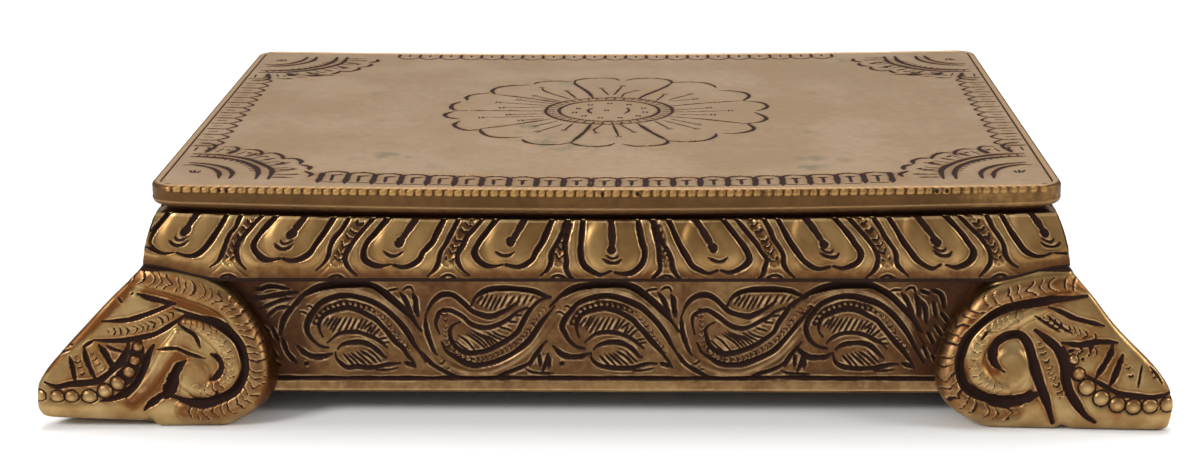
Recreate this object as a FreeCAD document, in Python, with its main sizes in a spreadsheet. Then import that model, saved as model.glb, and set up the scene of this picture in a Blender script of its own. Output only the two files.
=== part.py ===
import FreeCAD, Part
import Sketcher
import math
import os

# Low brass table: a thick top plate on a band of lotus petals, a skirt with
# a running vine, and four scroll feet whose toes sweep out to the sides.
# Millimetres. +X is the long side to the right, the front looks along -Y,
# +Z is up. The origin lies on the floor under the middle of the top.

FULL_TURN = 360.0
QUARTER = FULL_TURN / 4.0
DEGREE = 2.0 * math.pi / FULL_TURN
LEVEL_TOLERANCE = 1e-6

# Driving sizes

SIZES = {
    # Top plate
    "top_width": 244.0,
    "top_depth": 182.0,
    "total_height": 66.0,
    "top_thickness": 5.8,
    "top_corner_radius": 7.0,
    "top_upper_edge_radius": 1.0,
    "top_lower_edge_radius": 1.8,
    # Lotus frieze, measured from the side of the top plate
    "neck_height": 2.2,
    "neck_inset": 4.5,
    "frieze_top_inset": 2.0,
    "frieze_flare": 1.8,
    "frieze_lip_height": 1.6,
    "frieze_bulge_radius": 42.0,
    "frieze_height": 20.7,
    "flange_width": 9.0,
    "flange_thickness": 4.0,
    # Lotus petals
    "petal_pitch": 28.5,
    "petal_width": 18.6,
    "petal_height": 13.0,
    "petal_top_margin": 0.9,
    "petal_groove_width": 1.9,
    "petal_groove_depth": 0.9,
    "stem_groove_width": 1.3,
    "stem_groove_length": 7.0,
    # Skirt
    "skirt_inset": 3.0,
    "skirt_thickness": 4.0,
    "skirt_bottom_level": 6.4,
    "skirt_rim_height": 2.6,
    "skirt_edge_radius": 0.8,
    # Running vine on the skirt
    "vine_pitch": 35.0,
    "vine_margin": 0.6,
    "vine_stem_width": 2.4,
    "vine_groove_width": 1.1,
    "vine_groove_depth": 0.8,
    "leaf_length": 19.0,
    "leaf_width": 9.0,
    # Feet
    "foot_reach": 33.0,
    "toe_flare": 34.0,
    "toe_forward": 3.0,
    "foot_forward": 7.6,
    "foot_top_forward": 0.8,
    "foot_rim_width": 4.5,
    "toe_edge_radius": 7.0,
    "toe_edge_least_radius": 1.5,
    "foot_rise": 4.2,
    "foot_rise_run": 19.0,
    "volute_bead_radius": 2.3,
    "volute_bead_relief": 1.1,
    "hook_bead_radius": 2.0,
    # Brackets in the inner corners
    "bracket_leg": 27.0,
    "bracket_thickness": 3.0,
    "bracket_bottom_level": 12.0,
    # Screws
    "screw_radius": 1.5,
    "screw_head_radius": 2.8,
    "screw_head_height": 1.9,
    "screw_clearance": 0.15,
    "screw_bite": 3.6,
    "screw_tip_room": 0.6,
    "wall_screw_bite": 5.0,
    "screw_from_corner": 13.0,
    "top_screw_from_corner": 20.0,
    "foot_screw_drop": 17.5,
    "frieze_screw_rise": 7.5,
    # Engraving on the top plate
    "border_inset": 2.6,
    "engraving_width": 0.9,
    "engraving_depth": 0.5,
    "rosette_radius": 50.0,
    "rosette_ring_radius": 20.0,
    "rosette_inner_ring_radius": 15.5,
    "fan_radius": 40.0,
    "fan_outer_ring_radius": 27.0,
    "fan_inner_ring_radius": 17.0,
    # How far every cutting body runs past what it cuts
    "overrun": 2.0,
}

ROSETTE_PETALS = 9
LOBES_PER_PETAL = 2
FAN_LOBES = 8
FRONT_PETALS = 9
SIDE_PETALS = 7
FRONT_VINE_LEAVES = 5
SIDE_VINE_LEAVES = 3

# Shares of a neighbouring size
VINE_RADIUS_SHARE = 0.36
SCREW_CROWN_SHARE = 0.55
LOBE_OVERLAP_SHARE = 0.75
SPOKE_END_SHARE = 0.86
STEM_TOP_SHARE = 0.5
PETAL_SHOULDER_SHARE = 0.9
PETAL_TOP_SHARE = 0.86

# Places on a leaf of the vine, as shares of its length and of its width
LEAF_ROOT_SHARES = (-0.45, -0.35)
LEAF_TIP_SHARES = (0.55, -0.55)
LEAF_BACK_SHARES = (-0.05, 0.55)
LEAF_BELLY_SHARES = (0.02, -0.75)

# Straight edges in a soft corner of the foot, and sides of its beads
SOFT_CORNER_EDGES = 3
BEAD_SIDES = 8

# Levels of the foot's cross-sections as shares of the height under the
# frieze, and at each level the shares of the toe's flare, of the reach
# inwards along the skirt and of the way from top to bottom that the front
# has come forward.
FOOT_LEVEL_SHARES = (0.0, 0.10, 0.22, 0.36, 0.53, 0.72, 0.92, 1.12)
TOE_FLARE_SHARES = (0.95, 0.99, 1.0, 0.925, 0.735, 0.51, 0.31, 0.075)
FOOT_REACH_SHARES = (0.66, 0.90, 1.0, 1.0, 0.95, 0.83, 0.66, 0.46)
FOOT_FORWARD_SHARES = (0.86, 1.0, 0.88, 0.74, 0.57, 0.38, 0.19, 0.0)


class Length:
    """A length that knows its value and the formula that gives it."""

    def __init__(self, value, formula):
        self.value = value
        self.formula = formula

    def _with(self, other, value, sign):
        formula = other.formula if isinstance(other, Length) else repr(other)
        return Length(value, "(%s %s %s)" % (self.formula, sign, formula))

    def __add__(self, other):
        return self._with(other, self.value + other.value, "+")

    def __sub__(self, other):
        return self._with(other, self.value - other.value, "-")

    def __mul__(self, factor):
        return self._with(factor, self.value * factor, "*")

    def __truediv__(self, factor):
        return self._with(factor, self.value / factor, "/")

    def __neg__(self):
        return self * -1.0


class Sizes:
    """The driving sizes, readable as attributes."""

    def __init__(self, table):
        for name, value in table.items():
            setattr(self, name, Length(value, "sizes." + name))


document = FreeCAD.newDocument("bajot_low_table")
sheet = document.addObject("Spreadsheet::Sheet", "sizes")
for row, (name, value) in enumerate(SIZES.items(), start=1):
    sheet.set("A%d" % row, name)
    sheet.set("B%d" % row, repr(value))
    sheet.setAlias("B%d" % row, name)
document.recompute()

size = Sizes(SIZES)
ZERO = Length(0.0, "0")

# Lengths that several pieces share
half_width = size.top_width / 2.0
half_depth = size.top_depth / 2.0
plate_underside = size.total_height - size.top_thickness
frieze_top = plate_underside - size.neck_height
frieze_bottom = plate_underside - size.frieze_height
flange_underside = plate_underside - size.flange_thickness
wall_inset = size.skirt_inset + size.skirt_thickness
bracket_top = flange_underside
foot_screw_level = frieze_bottom - size.foot_screw_drop
frieze_screw_level = frieze_bottom + size.frieze_screw_rise
hole_radius = size.screw_radius + size.screw_clearance

nodes = {}


# Helpers for bodies, sketches and plain shapes


def set_length(owner, name, length):
    """Bind one property or constraint of an object to a formula."""
    owner.setExpression(name, length.formula)


def new_body(name):
    """Start a body for one piece."""
    body = document.addObject("PartDesign::Body", name)
    body.Label = name
    return body


def origin_plane(body, role):
    """Return one of the body's own origin planes."""
    for feature in body.Origin.OriginFeatures:
        if feature.Role == role:
            return feature
    raise ValueError("no plane " + role)


def new_sketch(body, name, role, offset=None):
    """Start a sketch on an origin plane, moved along its normal by offset."""
    sketch = body.newObject("Sketcher::SketchObject", name)
    sketch.AttachmentSupport = [(origin_plane(body, role), "")]
    sketch.MapMode = "FlatFace"
    if offset is not None:
        set_length(sketch, ".AttachmentOffset.Base.z", offset)
    return sketch


def fix_point(sketch, edge, end, place, name):
    """Hold one end of a sketch edge at a place given by two lengths."""
    for axis, kind, length in ((0, "DistanceX", place[0]), (1, "DistanceY", place[1])):
        index = sketch.addConstraint(
            Sketcher.Constraint(kind, -1, 1, edge, end, length.value))
        label = "%s_%d" % (name, axis)
        sketch.renameConstraint(index, label)
        sketch.setExpression("Constraints." + label, length.formula)


def outline_sketch(body, name, role, places, offset=None, bulges=None):
    """Closed outline through places; bulges maps an edge to its radius."""
    sketch = new_sketch(body, name, role, offset)
    bulges = bulges or {}
    points = [FreeCAD.Vector(a.value, b.value, 0.0) for a, b in places]
    count = len(points)
    ends = []
    for index, start in enumerate(points):
        finish = points[(index + 1) % count]
        if index in bulges:
            edge = add_bulge(sketch, start, finish, bulges[index])
            ends.append((edge, 2, 1))
        else:
            edge = sketch.addGeometry(Part.LineSegment(start, finish), False)
            ends.append((edge, 1, 2))
    for index in range(count):
        edge, first, last = ends[index]
        following, following_first, _ = ends[(index + 1) % count]
        sketch.addConstraint(Sketcher.Constraint(
            "Coincident", edge, last, following, following_first))
        fix_point(sketch, edge, first, places[index], "corner_%d" % index)
    for index, radius in bulges.items():
        number = sketch.addConstraint(Sketcher.Constraint(
            "Radius", ends[index][0], radius.value))
        sketch.renameConstraint(number, "bulge_%d" % index)
        sketch.setExpression("Constraints.bulge_%d" % index, radius.formula)
    return sketch


def add_bulge(sketch, start, finish, radius):
    """Add an arc that swells to the left of the way from start to finish."""
    chord = finish - start
    left = FreeCAD.Vector(-chord.y, chord.x, 0.0)
    left.normalize()
    back = math.sqrt(radius.value ** 2 - (chord.Length / 2.0) ** 2)
    centre = (start + finish) * 0.5 - left * back
    circle = Part.Circle(centre, FreeCAD.Vector(0, 0, 1), radius.value)
    first = math.atan2(finish.y - centre.y, finish.x - centre.x)
    last = math.atan2(start.y - centre.y, start.x - centre.x)
    return sketch.addGeometry(Part.ArcOfCircle(circle, first, last), False)


def pad(body, sketch, length, symmetric=False, backwards=False):
    """Raise a sketch by a length."""
    feature = body.newObject("PartDesign::Pad", sketch.Name + "_pad")
    feature.Profile = sketch
    feature.SideType = "Symmetric" if symmetric else "One side"
    feature.Reversed = backwards
    feature.Length = length.value
    set_length(feature, "Length", length)
    return feature


def pocket(body, sketch, length, symmetric=False, backwards=False):
    """Cut a sketch into the body by a length."""
    feature = body.newObject("PartDesign::Pocket", sketch.Name + "_pocket")
    feature.Profile = sketch
    feature.Type = "Length"
    feature.SideType = "Symmetric" if symmetric else "One side"
    feature.Reversed = backwards
    feature.Length = length.value
    set_length(feature, "Length", length)
    return feature


def circles_sketch(body, name, role, places, radius, offset=None):
    """Sketch of equal circles."""
    sketch = new_sketch(body, name, role, offset)
    for index, (across, along) in enumerate(places):
        centre = FreeCAD.Vector(across.value, along.value, 0.0)
        circle = Part.Circle(centre, FreeCAD.Vector(0, 0, 1), radius.value)
        edge = sketch.addGeometry(circle, False)
        fix_point(sketch, edge, 3, (across, along), "centre_%d" % index)
        number = sketch.addConstraint(Sketcher.Constraint("Radius", edge, radius.value))
        sketch.renameConstraint(number, "radius_%d" % index)
        sketch.setExpression("Constraints.radius_%d" % index, radius.formula)
    return sketch


def plain_shape(name, shape):
    """Keep a computed shape as an object of the document."""
    feature = document.addObject("Part::Feature", name)
    feature.Shape = shape
    feature.Placement = FreeCAD.Placement()
    feature.Label = name
    return feature


def cut_object(name, base, tool):
    """Boolean cut of two objects under a name of its own."""
    feature = document.addObject("Part::Cut", name + "_cut")
    feature.Base = base
    feature.Tool = tool
    feature.Label = name
    return feature


def turn(item, angle):
    """Turn an object about the vertical axis through the origin."""
    rotation = FreeCAD.Rotation(FreeCAD.Vector(0, 0, 1), angle)
    item.Placement = FreeCAD.Placement(FreeCAD.Vector(0, 0, 0), rotation)


def prism(corners, direction):
    """Closed prism over a flat outline given by its corners."""
    wire = Part.makePolygon(list(corners) + [corners[0]])
    return Part.Face(wire).extrude(direction)


def tangent_arcs(places, heading):
    """Smooth chain of arcs through places, leaving along a heading.

    Each arc touches the one before it, so that the chain has no corner.
    """
    edges = []
    for start, finish in zip(places, places[1:]):
        chord = finish - start
        turn_angle = math.atan2(heading.y, heading.x) - math.atan2(chord.y, chord.x)
        turn_angle = math.atan2(math.sin(turn_angle), math.cos(turn_angle))
        left = FreeCAD.Vector(-chord.y, chord.x, 0.0) * 0.5
        middle = (start + finish) * 0.5 + left * math.tan(turn_angle / 2.0)
        edges.append(Part.Arc(start, middle, finish).toShape())
        way = FreeCAD.Vector(chord)
        way.normalize()
        heading = way * (2.0 * heading.dot(way)) - heading
    return edges


# Top plate


def lobed_disc(centre, radius, count, first_angle, span, bottom, height):
    """Round plate whose rim swells into equal lobes over a span of angle."""
    lobe = radius * math.sin(span * DEGREE / count / 2.0)
    reach = radius - lobe * LOBE_OVERLAP_SHARE
    base = centre + FreeCAD.Vector(0, 0, bottom)
    lobes = []
    for index in range(count):
        angle = (first_angle + span * (index + 0.5) / count) * DEGREE
        way = FreeCAD.Vector(math.cos(angle), math.sin(angle), 0.0)
        lobes.append(Part.makeCylinder(lobe, height, base + way * reach))
    return Part.makeCylinder(reach, height, base).fuse(lobes).removeSplitter()


def ring(centre, radius, width, bottom, height):
    """Flat ring that cuts a round line."""
    base = centre + FreeCAD.Vector(0, 0, bottom)
    outer = Part.makeCylinder(radius + width / 2.0, height, base)
    return outer.cut(Part.makeCylinder(radius - width / 2.0, height, base))


def rosette_tool(bottom, height):
    """Engraved lines of the rosette in the middle of the top."""
    centre = FreeCAD.Vector(0, 0, 0)
    width = size.engraving_width.value
    outer_radius = size.rosette_radius.value
    lobes = ROSETTE_PETALS * LOBES_PER_PETAL
    outline = lobed_disc(centre, outer_radius, lobes, QUARTER, FULL_TURN, bottom, height)
    inside = lobed_disc(
        centre, outer_radius - width, lobes, QUARTER, FULL_TURN, bottom, height)
    pieces = [
        outline.cut(inside),
        ring(centre, size.rosette_ring_radius.value, width, bottom, height),
        ring(centre, size.rosette_inner_ring_radius.value, width, bottom, height),
    ]
    start = size.rosette_ring_radius.value + width
    length = outer_radius * SPOKE_END_SHARE - start
    for index in range(ROSETTE_PETALS):
        spoke = Part.makeBox(
            length, width, height, FreeCAD.Vector(start, -width / 2.0, bottom))
        angle = QUARTER + FULL_TURN * index / ROSETTE_PETALS
        spoke.rotate(centre, FreeCAD.Vector(0, 0, 1), angle)
        pieces.append(spoke)
    return pieces


def fan_tool(bottom, height):
    """Engraved lines of the four corner fans."""
    width = size.engraving_width.value
    reach_x = half_width.value - size.border_inset.value
    reach_y = half_depth.value - size.border_inset.value
    field = Part.makeBox(
        2.0 * reach_x, 2.0 * reach_y, height, FreeCAD.Vector(-reach_x, -reach_y, bottom))
    pieces = []
    for index, (side_x, side_y) in enumerate(((1, 1), (-1, 1), (-1, -1), (1, -1))):
        corner = FreeCAD.Vector(side_x * reach_x, side_y * reach_y, 0.0)
        start = QUARTER * (index + 2)
        radius = size.fan_radius.value
        outline = lobed_disc(corner, radius, FAN_LOBES, start, QUARTER, bottom, height)
        inside = lobed_disc(
            corner, radius - width, FAN_LOBES, start, QUARTER, bottom, height)
        pieces.append(outline.cut(inside).common(field))
        for ring_radius in (size.fan_outer_ring_radius, size.fan_inner_ring_radius):
            line = ring(corner, ring_radius.value, width, bottom, height)
            pieces.append(line.common(field))
    return pieces


def border_tool(bottom, height):
    """Engraved line that runs round the top near its edge."""
    width = size.engraving_width.value
    reach_x = half_width.value - size.border_inset.value
    reach_y = half_depth.value - size.border_inset.value
    outer = Part.makeBox(
        2.0 * reach_x, 2.0 * reach_y, height, FreeCAD.Vector(-reach_x, -reach_y, bottom))
    inner = Part.makeBox(
        2.0 * (reach_x - width), 2.0 * (reach_y - width), height,
        FreeCAD.Vector(width - reach_x, width - reach_y, bottom))
    return outer.cut(inner)


def top_screw_places():
    """Places of the screws that hold the top, seen from above."""
    in_flange = wall_inset + size.flange_width / 2.0
    from_wall = wall_inset + size.top_screw_from_corner
    near_end = (half_width - from_wall, half_depth - in_flange)
    near_side = (half_width - in_flange, half_depth - from_wall)
    places = []
    for side_x in (1.0, -1.0):
        for side_y in (1.0, -1.0):
            for across, along in (near_end, near_side):
                places.append((across * side_x, along * side_y))
    return places


def build_top_plate():
    """Thick top plate with rounded corners, eased edges and engraving."""
    body = new_body("top_plate_blank")
    outline = [
        (half_width * sx, half_depth * sy)
        for sx, sy in ((1.0, 1.0), (-1.0, 1.0), (-1.0, -1.0), (1.0, -1.0))
    ]
    sketch = outline_sketch(body, "plate_outline", "XY_Plane", outline, plate_underside)
    pad(body, sketch, size.top_thickness)
    document.recompute()
    upright = [
        "Edge%d" % number
        for number, edge in enumerate(body.Shape.Edges, start=1)
        if abs(edge.BoundBox.ZLength - size.top_thickness.value) < LEVEL_TOLERANCE
    ]
    round_edges(body, "plate_corners", upright, size.top_corner_radius)
    top_edges = level_edges(body.Shape, size.total_height.value)
    round_edges(body, "plate_upper_edge", top_edges, size.top_upper_edge_radius)
    under_edges = level_edges(body.Shape, plate_underside.value)
    round_edges(body, "plate_lower_edge", under_edges, size.top_lower_edge_radius)
    holes = circles_sketch(
        body, "plate_holes", "XY_Plane", top_screw_places(), hole_radius, plate_underside)
    pocket(body, holes, size.screw_bite + size.screw_tip_room, backwards=True)
    document.recompute()
    bottom = size.total_height.value - size.engraving_depth.value
    height = size.engraving_depth.value + size.overrun.value
    tool = Part.makeCompound(
        rosette_tool(bottom, height) + fan_tool(bottom, height))
    lines = plain_shape("rosette_and_fan_lines", tool)
    engraved = cut_object("top_plate_centre", body, lines)
    border = plain_shape("border_line", border_tool(bottom, height))
    nodes["top_plate"] = cut_object("top_plate", engraved, border)


def level_edges(shape, level):
    """Names of the edges that lie wholly at one height."""
    return [
        "Edge%d" % number
        for number, edge in enumerate(shape.Edges, start=1)
        if abs(edge.BoundBox.ZMin - level) < LEVEL_TOLERANCE
        and abs(edge.BoundBox.ZMax - level) < LEVEL_TOLERANCE
    ]


def round_edges(body, name, edges, radius):
    """Round some edges of the body's last feature."""
    feature = body.newObject("PartDesign::Fillet", name)
    feature.Base = (body.Group[-2], edges)
    feature.Radius = radius.value
    set_length(feature, "Radius", radius)
    document.recompute()
    return feature


# Strips along the four sides

SIDES = (
    ("front", 0.0, half_width, half_depth),
    ("right", QUARTER, half_depth, half_width),
    ("back", 2.0 * QUARTER, half_width, half_depth),
    ("left", 3.0 * QUARTER, half_depth, half_width),
)


def mitre_ends(body, name, half_run, distance, inward, outward, top):
    """Cut both ends of a strip at 45 degrees where it meets its neighbours."""
    past = size.overrun
    for end, side in (("right", 1.0), ("left", -1.0)):
        places = [
            ((half_run - inward - past) * side, -(distance - inward - past)),
            ((half_run + outward + past) * side, -(distance + outward + past)),
            ((half_run + outward + past) * side, -(distance - inward - past)),
        ]
        if side < 0.0:
            places.reverse()
        sketch = outline_sketch(body, "%s_%s_mitre" % (name, end), "XY_Plane", places)
        pocket(body, sketch, top + past, backwards=True)


def rising_edge(half_run):
    """Corners of the cut under a frieze end, where the foot sweeps up."""
    past = size.overrun
    start = half_run - size.foot_rise_run
    finish = half_run + size.foot_rise_run
    low = frieze_bottom - past
    return [
        (start, low), (finish, low), (finish, frieze_bottom + size.foot_rise * 2.0),
        (start, frieze_bottom),
    ]


def petal_tool(half_run, distance, count):
    """Petal grooves of one frieze strip, as deep as the groove everywhere."""
    width = size.petal_groove_width.value
    outer = size.petal_width.value / 2.0
    inner = outer - width
    top = frieze_top.value - size.petal_top_margin.value
    drop = size.petal_height.value
    stem_half = size.stem_groove_width.value / 2.0
    stem = size.stem_groove_length.value
    pitch = size.petal_pitch.value
    near = distance.value + size.frieze_flare.value + size.overrun.value
    depth = FreeCAD.Vector(0, near - distance.value + wall_inset.value, 0)
    cuts = []
    for index in range(count):
        middle = (index - (count - 1) / 2.0) * pitch
        outline = petal_face(middle, outer, top, drop, near)
        inside = petal_face(middle, inner, top, drop - width, near)
        stem_corners = [
            FreeCAD.Vector(middle - stem_half * STEM_TOP_SHARE, -near, top),
            FreeCAD.Vector(middle + stem_half * STEM_TOP_SHARE, -near, top),
            FreeCAD.Vector(middle + stem_half, -near, top - stem),
            FreeCAD.Vector(middle - stem_half, -near, top - stem),
        ]
        cuts.append(outline.extrude(depth).cut(inside.extrude(depth)))
        cuts.append(prism(stem_corners, depth))
    return Part.makeCompound(cuts)


def petal_face(middle, half, top, drop, near):
    """Upright face of one petal: straight sides above a rounded tip."""
    shoulder = top - drop + half * PETAL_SHOULDER_SHARE
    left_top = FreeCAD.Vector(middle - half * PETAL_TOP_SHARE, -near, top)
    left_low = FreeCAD.Vector(middle - half, -near, shoulder)
    tip = FreeCAD.Vector(middle, -near, top - drop)
    right_low = FreeCAD.Vector(middle + half, -near, shoulder)
    right_top = FreeCAD.Vector(middle + half * PETAL_TOP_SHARE, -near, top)
    edges = [
        Part.LineSegment(left_top, left_low).toShape(),
        Part.Arc(left_low, tip, right_low).toShape(),
        Part.LineSegment(right_low, right_top).toShape(),
        Part.LineSegment(right_top, left_top).toShape(),
    ]
    return Part.Face(Part.Wire(edges))


def frieze_core(half_run, distance):
    """What lies behind the petal grooves: the sloping face moved inwards."""
    past = size.overrun.value
    depth = size.petal_groove_depth.value
    upper = FreeCAD.Vector(0, -(distance - size.frieze_top_inset).value + depth, frieze_top.value)
    lower = FreeCAD.Vector(
        0, -(distance + size.frieze_flare).value + depth,
        (frieze_bottom + size.frieze_lip_height).value)
    chord = lower - upper
    way_out = FreeCAD.Vector(0, chord.z, -chord.y)
    way_out.normalize()
    half = chord.Length / 2.0
    radius = size.frieze_bulge_radius.value
    height = radius - math.sqrt(radius ** 2 - half ** 2)
    arc = Part.Arc(upper, (upper + lower) * 0.5 + way_out * height, lower).toShape()
    back = -(distance - wall_inset).value + past
    corners = [lower, FreeCAD.Vector(0, lower.y, lower.z - past),
               FreeCAD.Vector(0, back, lower.z - past),
               FreeCAD.Vector(0, back, upper.z + past),
               FreeCAD.Vector(0, upper.y, upper.z + past), upper]
    face = Part.Face(Part.Wire([arc] + Part.makePolygon(corners).Edges))
    length = 2.0 * (half_run.value + past)
    face.translate(FreeCAD.Vector(-length / 2.0, 0, 0))
    return face.extrude(FreeCAD.Vector(length, 0, 0))


def wall_screw_places(half_run, level):
    """Two screw places of one side, seen from the front."""
    across = half_run - wall_inset - size.screw_from_corner
    return [(across, level), (-across, level)]


def build_frieze(side, angle, half_run, distance, count):
    """Mitred strip with a neck, a flared petal face and an inner flange."""
    body = new_body("frieze_%s_blank" % side)
    inner = -(distance - wall_inset)
    flange = inner + size.flange_width
    lip_level = frieze_bottom + size.frieze_lip_height
    lip = -(distance + size.frieze_flare)
    face_top = -(distance - size.frieze_top_inset)
    neck = -(distance - size.neck_inset)
    places = [
        (inner, frieze_bottom), (lip, frieze_bottom),
        (lip, lip_level), (face_top, frieze_top), (neck, frieze_top),
        (neck, plate_underside), (flange, plate_underside),
        (flange, flange_underside), (inner, flange_underside),
    ]
    section = outline_sketch(
        body, "frieze_%s_section" % side, "YZ_Plane", places,
        bulges={2: size.frieze_bulge_radius})
    length = (half_run + size.frieze_flare + size.overrun) * 2.0
    pad(body, section, length, symmetric=True)
    mitre_ends(body, "frieze_%s" % side, half_run, distance,
               wall_inset + size.flange_width, size.frieze_flare, plate_underside)
    lap = distance - size.skirt_inset
    for end, sign in (("right", 1.0), ("left", -1.0)):
        corners = [(across * sign, up) for across, up in rising_edge(half_run)]
        sketch = outline_sketch(
            body, "frieze_%s_%s_rise" % (side, end), "XZ_Plane", corners, lap)
        pocket(body, sketch, size.skirt_inset + size.frieze_flare + size.overrun,
               backwards=True)
    wall_holes = circles_sketch(
        body, "frieze_%s_wall_holes" % side, "XZ_Plane",
        wall_screw_places(half_run, frieze_screw_level), hole_radius,
        distance - wall_inset)
    pocket(body, wall_holes, size.wall_screw_bite + size.screw_tip_room, backwards=True)
    across = half_run - wall_inset - size.top_screw_from_corner
    along = -(distance - wall_inset - size.flange_width / 2.0)
    flange_holes = circles_sketch(
        body, "frieze_%s_flange_holes" % side, "XY_Plane",
        [(across, along), (-across, along)], hole_radius, flange_underside)
    pocket(body, flange_holes, size.flange_thickness + size.overrun, backwards=True)
    tool = petal_tool(half_run, distance, count).cut(frieze_core(half_run, distance))
    grooves = plain_shape("frieze_%s_grooves" % side, tool)
    node = cut_object("lotus_frieze_" + side, body, grooves)
    turn(node, angle)
    nodes["lotus_frieze_" + side] = node


def vine_bend(index, leaves, offset):
    """Start, crown and finish of one bend of the vine, moved sideways."""
    pitch = size.vine_pitch.value
    radius = pitch * VINE_RADIUS_SHARE
    rise = vine_rise() - radius
    side = 1.0 if index % 2 == 0 else -1.0
    apart = math.hypot(pitch, 2.0 * rise)
    lean = math.asin(2.0 * radius / apart) - math.atan2(2.0 * rise, pitch)
    middle = FreeCAD.Vector((index - (leaves - 1) / 2.0) * pitch, side * rise, 0.0)
    reach = radius + side * offset
    across = reach * math.sin(lean)
    up = side * reach * math.cos(lean)
    return (middle + FreeCAD.Vector(-across, up, 0.0),
            middle + FreeCAD.Vector(0.0, side * reach, 0.0),
            middle + FreeCAD.Vector(across, up, 0.0))


def vine_rise():
    """Height of the vine's stem over the middle line of its field."""
    field = (frieze_bottom - size.skirt_bottom_level - size.skirt_rim_height).value
    edge = size.vine_stem_width.value / 2.0 + size.vine_groove_width.value
    return field / 2.0 - edge - size.vine_margin.value


def vine_band(leaves, low, high):
    """One groove beside the vine's stem, between two offsets of its middle."""
    forward = [vine_bend(index, leaves, low) for index in range(leaves)]
    backward = [vine_bend(index, leaves, high) for index in range(leaves)]
    edges = [line_edge(backward[0][0], forward[0][0])]
    for index in range(leaves):
        edges.append(Part.Arc(*forward[index]).toShape())
        if index + 1 < leaves:
            edges.append(line_edge(forward[index][2], forward[index + 1][0]))
    edges.append(line_edge(forward[-1][2], backward[-1][2]))
    for index in reversed(range(leaves)):
        edges.append(Part.Arc(*reversed(backward[index])).toShape())
        if index:
            edges.append(line_edge(backward[index][0], backward[index - 1][2]))
    return Part.Face(Part.Wire(edges))


def line_edge(start, finish):
    """Straight edge between two points."""
    return Part.LineSegment(start, finish).toShape()


def leaf_outline(middle, side):
    """Pointed leaf that lies in one bend of the vine."""
    length = size.leaf_length.value
    width = side * size.leaf_width.value

    def place(shares):
        return middle + FreeCAD.Vector(length * shares[0], width * shares[1], 0)

    root = place(LEAF_ROOT_SHARES)
    tip = place(LEAF_TIP_SHARES)
    edges = [
        Part.Arc(root, place(LEAF_BACK_SHARES), tip).toShape(),
        Part.Arc(tip, place(LEAF_BELLY_SHARES), root).toShape(),
    ]
    return Part.Face(Part.Wire(edges))


def vine_tool(distance, leaves):
    """Grooves of the vine and its leaves on one skirt panel."""
    depth = size.vine_groove_depth.value
    past = size.overrun.value
    half_stem = size.vine_stem_width.value / 2.0
    groove = size.vine_groove_width.value
    faces = [
        vine_band(leaves, half_stem, half_stem + groove),
        vine_band(leaves, -half_stem - groove, -half_stem),
    ]
    for index in range(leaves):
        middle = FreeCAD.Vector((index - (leaves - 1) / 2.0) * size.vine_pitch.value, 0.0, 0.0)
        side = 1.0 if index % 2 == 0 else -1.0
        faces.append(leaf_outline(middle, side))
    low = (size.skirt_bottom_level + size.skirt_rim_height).value
    high = frieze_bottom.value
    rotation = FreeCAD.Rotation(FreeCAD.Vector(1, 0, 0), QUARTER)
    place = FreeCAD.Vector(0, -(distance - size.skirt_inset).value + depth, (low + high) / 2.0)
    solids = []
    for face in faces:
        face.Placement = FreeCAD.Placement(place, rotation)
        solids.append(face.extrude(FreeCAD.Vector(0, -depth - past, 0)))
    return Part.makeCompound(solids)


def build_skirt(side, angle, half_run, distance, leaves):
    """Mitred panel with its vine and a plain rim along the bottom."""
    body = new_body("skirt_%s_blank" % side)
    outer = -(distance - size.skirt_inset)
    inner = -(distance - wall_inset)
    low = size.skirt_bottom_level
    places = [
        (inner, low), (outer + size.skirt_edge_radius, low),
        (outer, low + size.skirt_edge_radius), (outer, frieze_bottom),
        (inner, frieze_bottom),
    ]
    section = outline_sketch(
        body, "skirt_%s_section" % side, "YZ_Plane", places,
        bulges={1: size.skirt_edge_radius})
    pad(body, section, (half_run + size.overrun) * 2.0, symmetric=True)
    mitre_ends(body, "skirt_%s" % side, half_run, distance, wall_inset,
               ZERO, frieze_bottom)
    holes = circles_sketch(
        body, "skirt_%s_holes" % side, "XZ_Plane",
        wall_screw_places(half_run, foot_screw_level), hole_radius,
        distance - wall_inset)
    pocket(body, holes, size.skirt_thickness + size.overrun, backwards=True)
    grooves = plain_shape("skirt_%s_grooves" % side, vine_tool(distance, leaves))
    node = cut_object("scroll_skirt_" + side, body, grooves)
    turn(node, angle)
    nodes["scroll_skirt_" + side] = node


# Scroll feet


def between(shares, index, low, high):
    """Value between low and high at one of the foot's levels."""
    return low + (high - low) * shares[index]


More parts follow.
